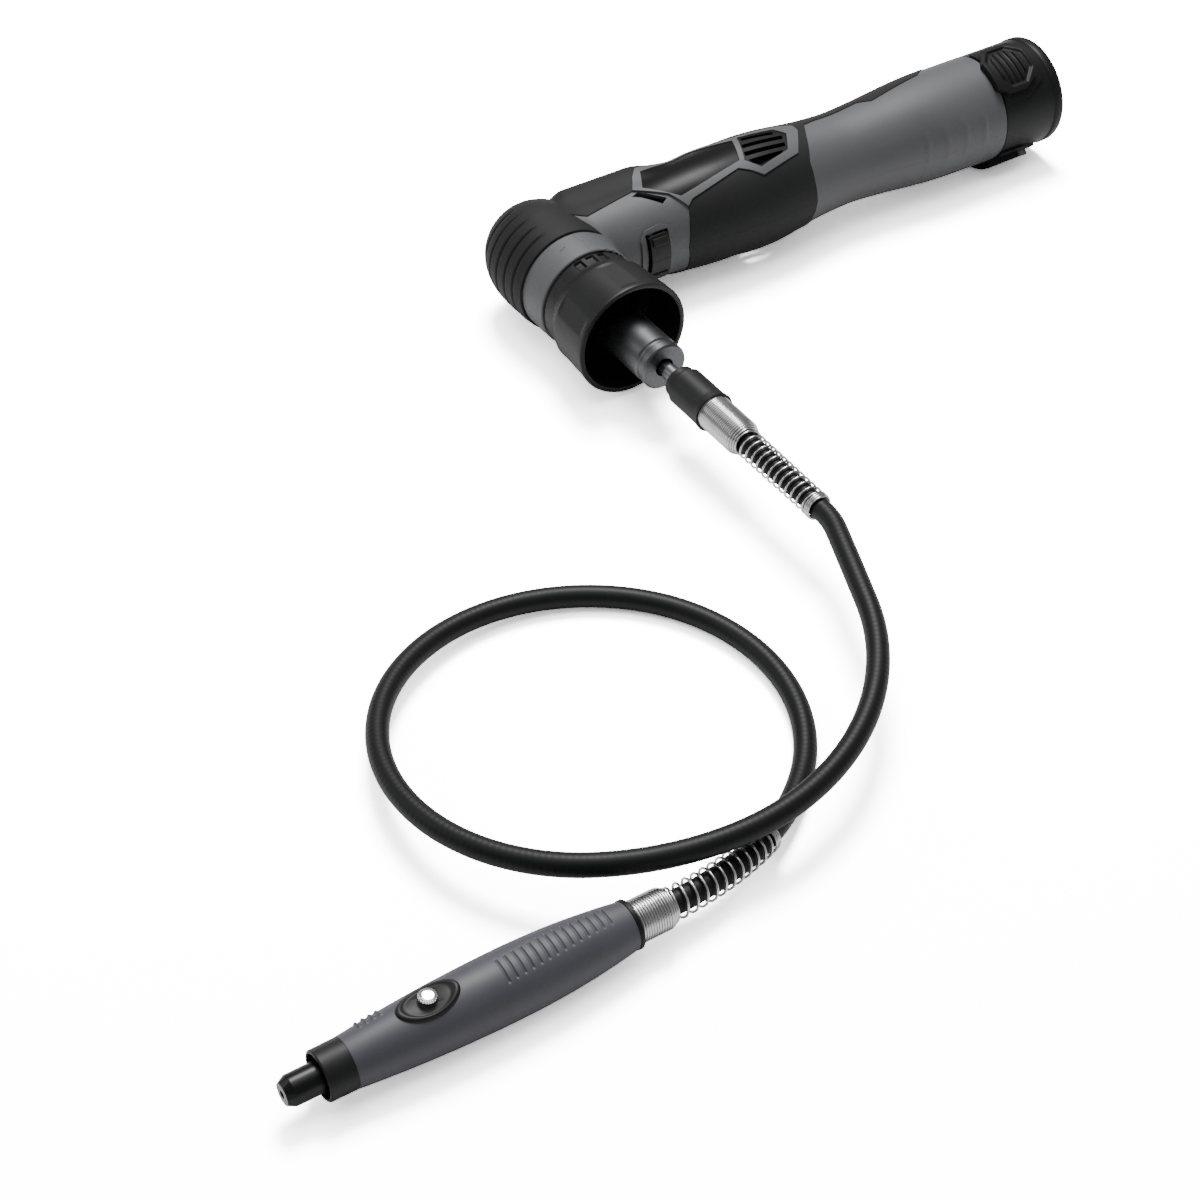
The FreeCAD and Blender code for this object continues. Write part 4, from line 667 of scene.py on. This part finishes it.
def cup_relief(turn, along, radius):
    if radius < 24.9:
        return 0 * turn
    share = (turn + math.pi / 6) % (math.pi / 3) - math.pi / 6
    flat = np.minimum(0, 0.983 * radius / np.cos(share) - radius) if radius > 27 else 0 * turn
    flat = flat * smooth_step(-along, 49, 50.5) * (1 - smooth_step(-along, 70, 71.5))
    slot = 0 * turn
    for angle in CUP_SLOTS:
        away = np.abs(np.degrees(turn + math.pi) % 360 - 180 - angle)
        slot = np.maximum(slot, 1 - smooth_step(away, 4.2, 5.0))
    return flat - 1.4 * slot * smooth_step(-along, 36.6, 37.2) * (1 - smooth_step(-along, 42.0, 42.6))


lathe("cup_bell", dense(CUP, 0.8), (0, 0, 0), "y", "cup_black", "tool", ["guard_cup"], 300,
      cup_relief)


# Handpiece: grip with cross grooves, fins and an oval bezel round the lock button.

BUTTON_X, BUTTON_TOP = -86.0, 15.9
GRIP_WAIST = 52
GRIP_GROOVES = [-9.5 - 3.6 * i for i in range(14)]
GRIP_FINS = [-103.0 - 2.9 * i for i in range(4)]


def grip_radius(x):
    bend = np.where(x > -GRIP_WAIST, 336.0, 653.0)
    return 13.85 - (x + GRIP_WAIST) ** 2 / (2 * bend)


def grip_skin():
    finer = [spot + np.linspace(-0.9, 0.9, 13) for spot in GRIP_GROOVES]
    xs = np.unique(np.round(np.concatenate([np.linspace(-120, 0, 241), *finer]), 3))
    turn = np.radians(np.linspace(-90, 90, 121))
    degrees = np.degrees(turn)
    rings = []
    for x in xs:
        reach = np.full(len(turn), float(grip_radius(x)))
        for i, spot in enumerate(GRIP_GROOVES):
            start, end = -24 + i * 1.2, 20 + i * 1.2
            band = smooth_step(degrees, start - 2, start + 2)
            band = band * (1 - smooth_step(degrees, end - 2, end + 2))
            reach -= 0.6 * band * math.exp(-(((x - spot) / 0.5) ** 4))
        for spot in GRIP_FINS:
            band = smooth_step(degrees, -52, -46) * (1 - smooth_step(degrees, -24, -18))
            reach += 0.9 * band * math.exp(-(((x - spot) / 0.55) ** 4))
        rings.append(np.stack([np.full(len(turn), x), -reach * np.sin(turn), reach * np.cos(turn)], 1))
    rings.insert(0, rings[0] * [1, 0.8, 0.8])
    rings.append(rings[-1] * [1, 0.75, 0.75])
    points = np.concatenate(rings)
    for upper in (True, False):
        side = points.copy()
        if not upper:
            bare = grip_radius(side[:, 0])
            reach = np.hypot(side[:, 1], side[:, 2])
            side[:, 1:] *= np.minimum(1, bare / np.maximum(reach, 0.1))[:, None]
            side[:, 2] *= -1
        half = "upper" if upper else "lower"
        sharp_edges(piece(f"grip_{half}", row(side + [HAND_X, HAND_Y, HAND_Z]),
                          ring_faces(len(rings), len(turn), False), "handpiece_grey", "handpiece",
                          [f"hand_grip_{half}"]), 50)


def oval_bezel():
    """A raised rim round a shallow dish that follows the grip."""
    turn = np.linspace(0, 2 * math.pi, 160, endpoint=False)
    profile = [(0.30, -0.6), (0.32, 0.0), (0.40, 0.05), (0.70, 0.12), (0.76, 0.25), (0.80, 0.7),
               (0.84, 1.0), (0.90, 1.08), (0.95, 0.95), (0.985, 0.6), (1.0, 0.1), (1.0, -0.8)]
    rings = []
    for share, lift in profile:
        round_share = smooth_step(share, 0.3, 0.8)
        x = (3.72 + (13.0 * share - 3.72) * round_share) * np.cos(turn)
        y = (3.72 + (7.6 * share - 3.72) * round_share) * np.sin(turn)
        bare = grip_radius(x + BUTTON_X)
        z = np.sqrt(np.maximum(bare**2 - y**2, 1)) + lift
        rings.append(np.stack([x + BUTTON_X, y, z], 1))
    points = np.concatenate(rings) + [HAND_X, HAND_Y, HAND_Z]
    sharp_edges(piece("oval_bezel", row(points), ring_faces(len(rings), 160), "cup_black",
                      "handpiece", ["lock_bezel"]), 60)


grip_skin()
oval_bezel()
rear = [(-0.4, 6.0), (-0.4, 9.9), (-0.1, 10.2), (1.3, 10.2), (1.7, 9.8), (1.7, 7.6)]
lathe("grip_tail_ring", rear, (HAND_X, HAND_Y, HAND_Z), "x", "sheath_black", "handpiece")


# Lock button: a chrome cap with a knurled edge.


def chrome_cap():
    profile = [(0.02, 0), (1.0, 0.0), (2.0, 0.03), (2.7, 0.08), (2.95, 0.2), (3.05, 0.45), (3.2, 0.5),
               (3.45, 0.62), (3.6, 0.85), (3.62, 1.4), (3.62, 5.4)]
    turn = np.linspace(0, 2 * math.pi, 192, endpoint=False)
    rings = []
    for radius, down in profile:
        knurl = 0.13 * np.cos(22 * turn) if radius > 3.3 else 0
        x, y = (radius + knurl) * np.cos(turn), (radius + knurl) * np.sin(turn)
        rings.append(np.stack([x + BUTTON_X, y, np.full(192, BUTTON_TOP - down)], 1))
    points = np.concatenate(rings) + [HAND_X, HAND_Y, HAND_Z]
    sharp_edges(piece("chrome_cap", row(points), ring_faces(len(rings), 192), "chrome_button",
                      "lock_button", ["lock_button"]), 30)


chrome_cap()


# Battery latches: a hexagonal button with cross ribs inside a raised rim.

LATCH_WELL = [(262.5, -16), (262.5, 60), (277, 59), (289, 46), (292, 8), (285.5, -11), (279, -16)]
LATCH_X, LATCH_TURN = 273.0, 22.0
LATCH = [(259.0, 12), (264.5, -4), (282, -4), (288, 10), (285, 40), (276, 50), (265, 50), (259.0, 42)]


def latch_rise(x, turn):
    """Ridges across the middle of a latch, in a hollow inside its rim."""
    edge = np.maximum(np.abs(x - LATCH_X) / 14.0, np.abs(turn - LATCH_TURN) / 27.0)
    edge = np.maximum(edge, (np.abs(x - LATCH_X) / 14.0 + np.abs(turn - LATCH_TURN) / 27.0) / 1.45)
    hollow = 1 - smooth_step(edge, 0.78, 0.84)
    ridge = smooth_step(np.cos((x - LATCH_X) * 2 * math.pi / 3.6), -0.2, 0.5)
    ridge = ridge * (1 - smooth_step(edge, 0.62, 0.68))
    return hollow * (-1.3 + 1.25 * ridge)


def latches():
    for upper in (True, False):
        half = "upper" if upper else "lower"
        skin_piece(f"latch_{half}_face", LATCH, [], 4.0, 4.4, "battery_black", f"latch_{half}",
                   [f"battery_latch_{half}"], (0.4, 1.2), upper, 0.35, latch_rise)
        skin_piece(f"latch_{half}_well", LATCH_WELL, [LATCH], 1.2, 2.4, "battery_black", "battery",
                   (), (1.0, 2.5), upper, 0.5)


latches()

# Rim round the battery's end.
END_RIM = [(294.0, 27.0), (294.3, 27.9), (294.9, 28.35), (298.6, 28.3), (299.7, 27.9),
           (300.0, 27.0), (300.0, 24.0)]
lathe("battery_rim", END_RIM, (0, 0, 0), "x", "battery_black", "battery", (), 128)


# Turning-direction arrow, raised on top of the head's ring.

ARROW = [(-9.5, -25.2), (3.5, -25.2), (3.5, -24.4), (-6.6, -24.4), (-5.2, -22.2), (-6.4, -22.2)]


def ring_arrow():
    points = []
    for radius in (26.5, 25.9):
        for arc, y in ARROW:
            turn = arc / HEAD_RADIUS
            points.append((radius * math.sin(turn), y, radius * math.cos(turn)))
    count = len(ARROW)
    faces = [tuple(range(count)), tuple(range(2 * count - 1, count - 1, -1))]
    faces += [(i, (i + 1) % count, (i + 1) % count + count, i + count) for i in range(count)]
    sharp_edges(piece("ring_arrow", row(points), faces, "housing_grey", "tool"))


ring_arrow()


# Camera, light and floor. The floor looks this many times brighter than the light it gives back.
FLOOR_GAIN = 8.0


def stage():
    bpy.ops.mesh.primitive_plane_add(size=60, location=(0, 0, -0.0004))
    floor = bpy.context.object
    floor.name = "floor"
    pale = surface("floor_pale", (0.86, 0.86, 0.87), (0.90, 0.90, 0.90), (0.55, 0.7), grain=400,
                   relief=0.02, edge=0)
    floor.data.materials.append(pale)
    tree = pale.node_tree
    shader = tree.nodes["Principled BSDF"]
    brighter = tree.nodes.new("ShaderNodeMix")
    brighter.data_type = "RGBA"
    path = tree.nodes.new("ShaderNodeLightPath")
    tree.links.new(path.outputs["Is Camera Ray"], brighter.inputs["Factor"])
    tree.links.new(shader.inputs["Base Color"].links[0].from_socket, brighter.inputs[6])
    brighter.inputs[7].default_value = (FLOOR_GAIN, FLOOR_GAIN, FLOOR_GAIN, 1)
    tree.links.new(brighter.outputs[2], shader.inputs["Base Color"])
    world = bpy.data.worlds.new("studio")
    bpy.context.scene.world = world
    world.use_nodes = True
    back = world.node_tree.nodes["Background"]
    back.inputs["Color"].default_value = (1, 1, 1, 1)
    back.inputs["Strength"].default_value = 0.33
    lamps = [("key", (0.42, 0.70, 1.7), 64.0, 0.7, (0.02, 0.08, 0)),
             ("top", (-0.2, 0.1, 1.9), 16.0, 1.6, (0, 0, 0)),
             ("rim", (-1.3, 0.9, 0.9), 6.0, 0.8, (0, 0, 0))]
    for name, spot, power, size, aim in lamps:
        data = bpy.data.lights.new(name, "AREA")
        data.energy = power
        data.size = size
        lamp = bpy.data.objects.new(name, data)
        lamp.location = spot
        lamp.rotation_euler = (Vector(aim) - Vector(spot)).to_track_quat("-Z", "Y").to_euler()
        bpy.context.scene.collection.objects.link(lamp)


def camera():
    data = bpy.data.cameras.new("camera")
    data.lens = 80.04
    data.sensor_width = 36.0
    eye = bpy.data.objects.new("camera", data)
    eye.location = row([(-561.6, -918.4, 772.0 - AXIS_HEIGHT)])[0]
    down = math.radians(41.713)
    look = Vector((0.541 * math.cos(down), 0.841 * math.cos(down), -math.sin(down)))
    eye.rotation_euler = look.to_track_quat("-Z", "Y").to_euler()
    bpy.context.scene.collection.objects.link(eye)
    bpy.context.scene.camera = eye


stage()
camera()
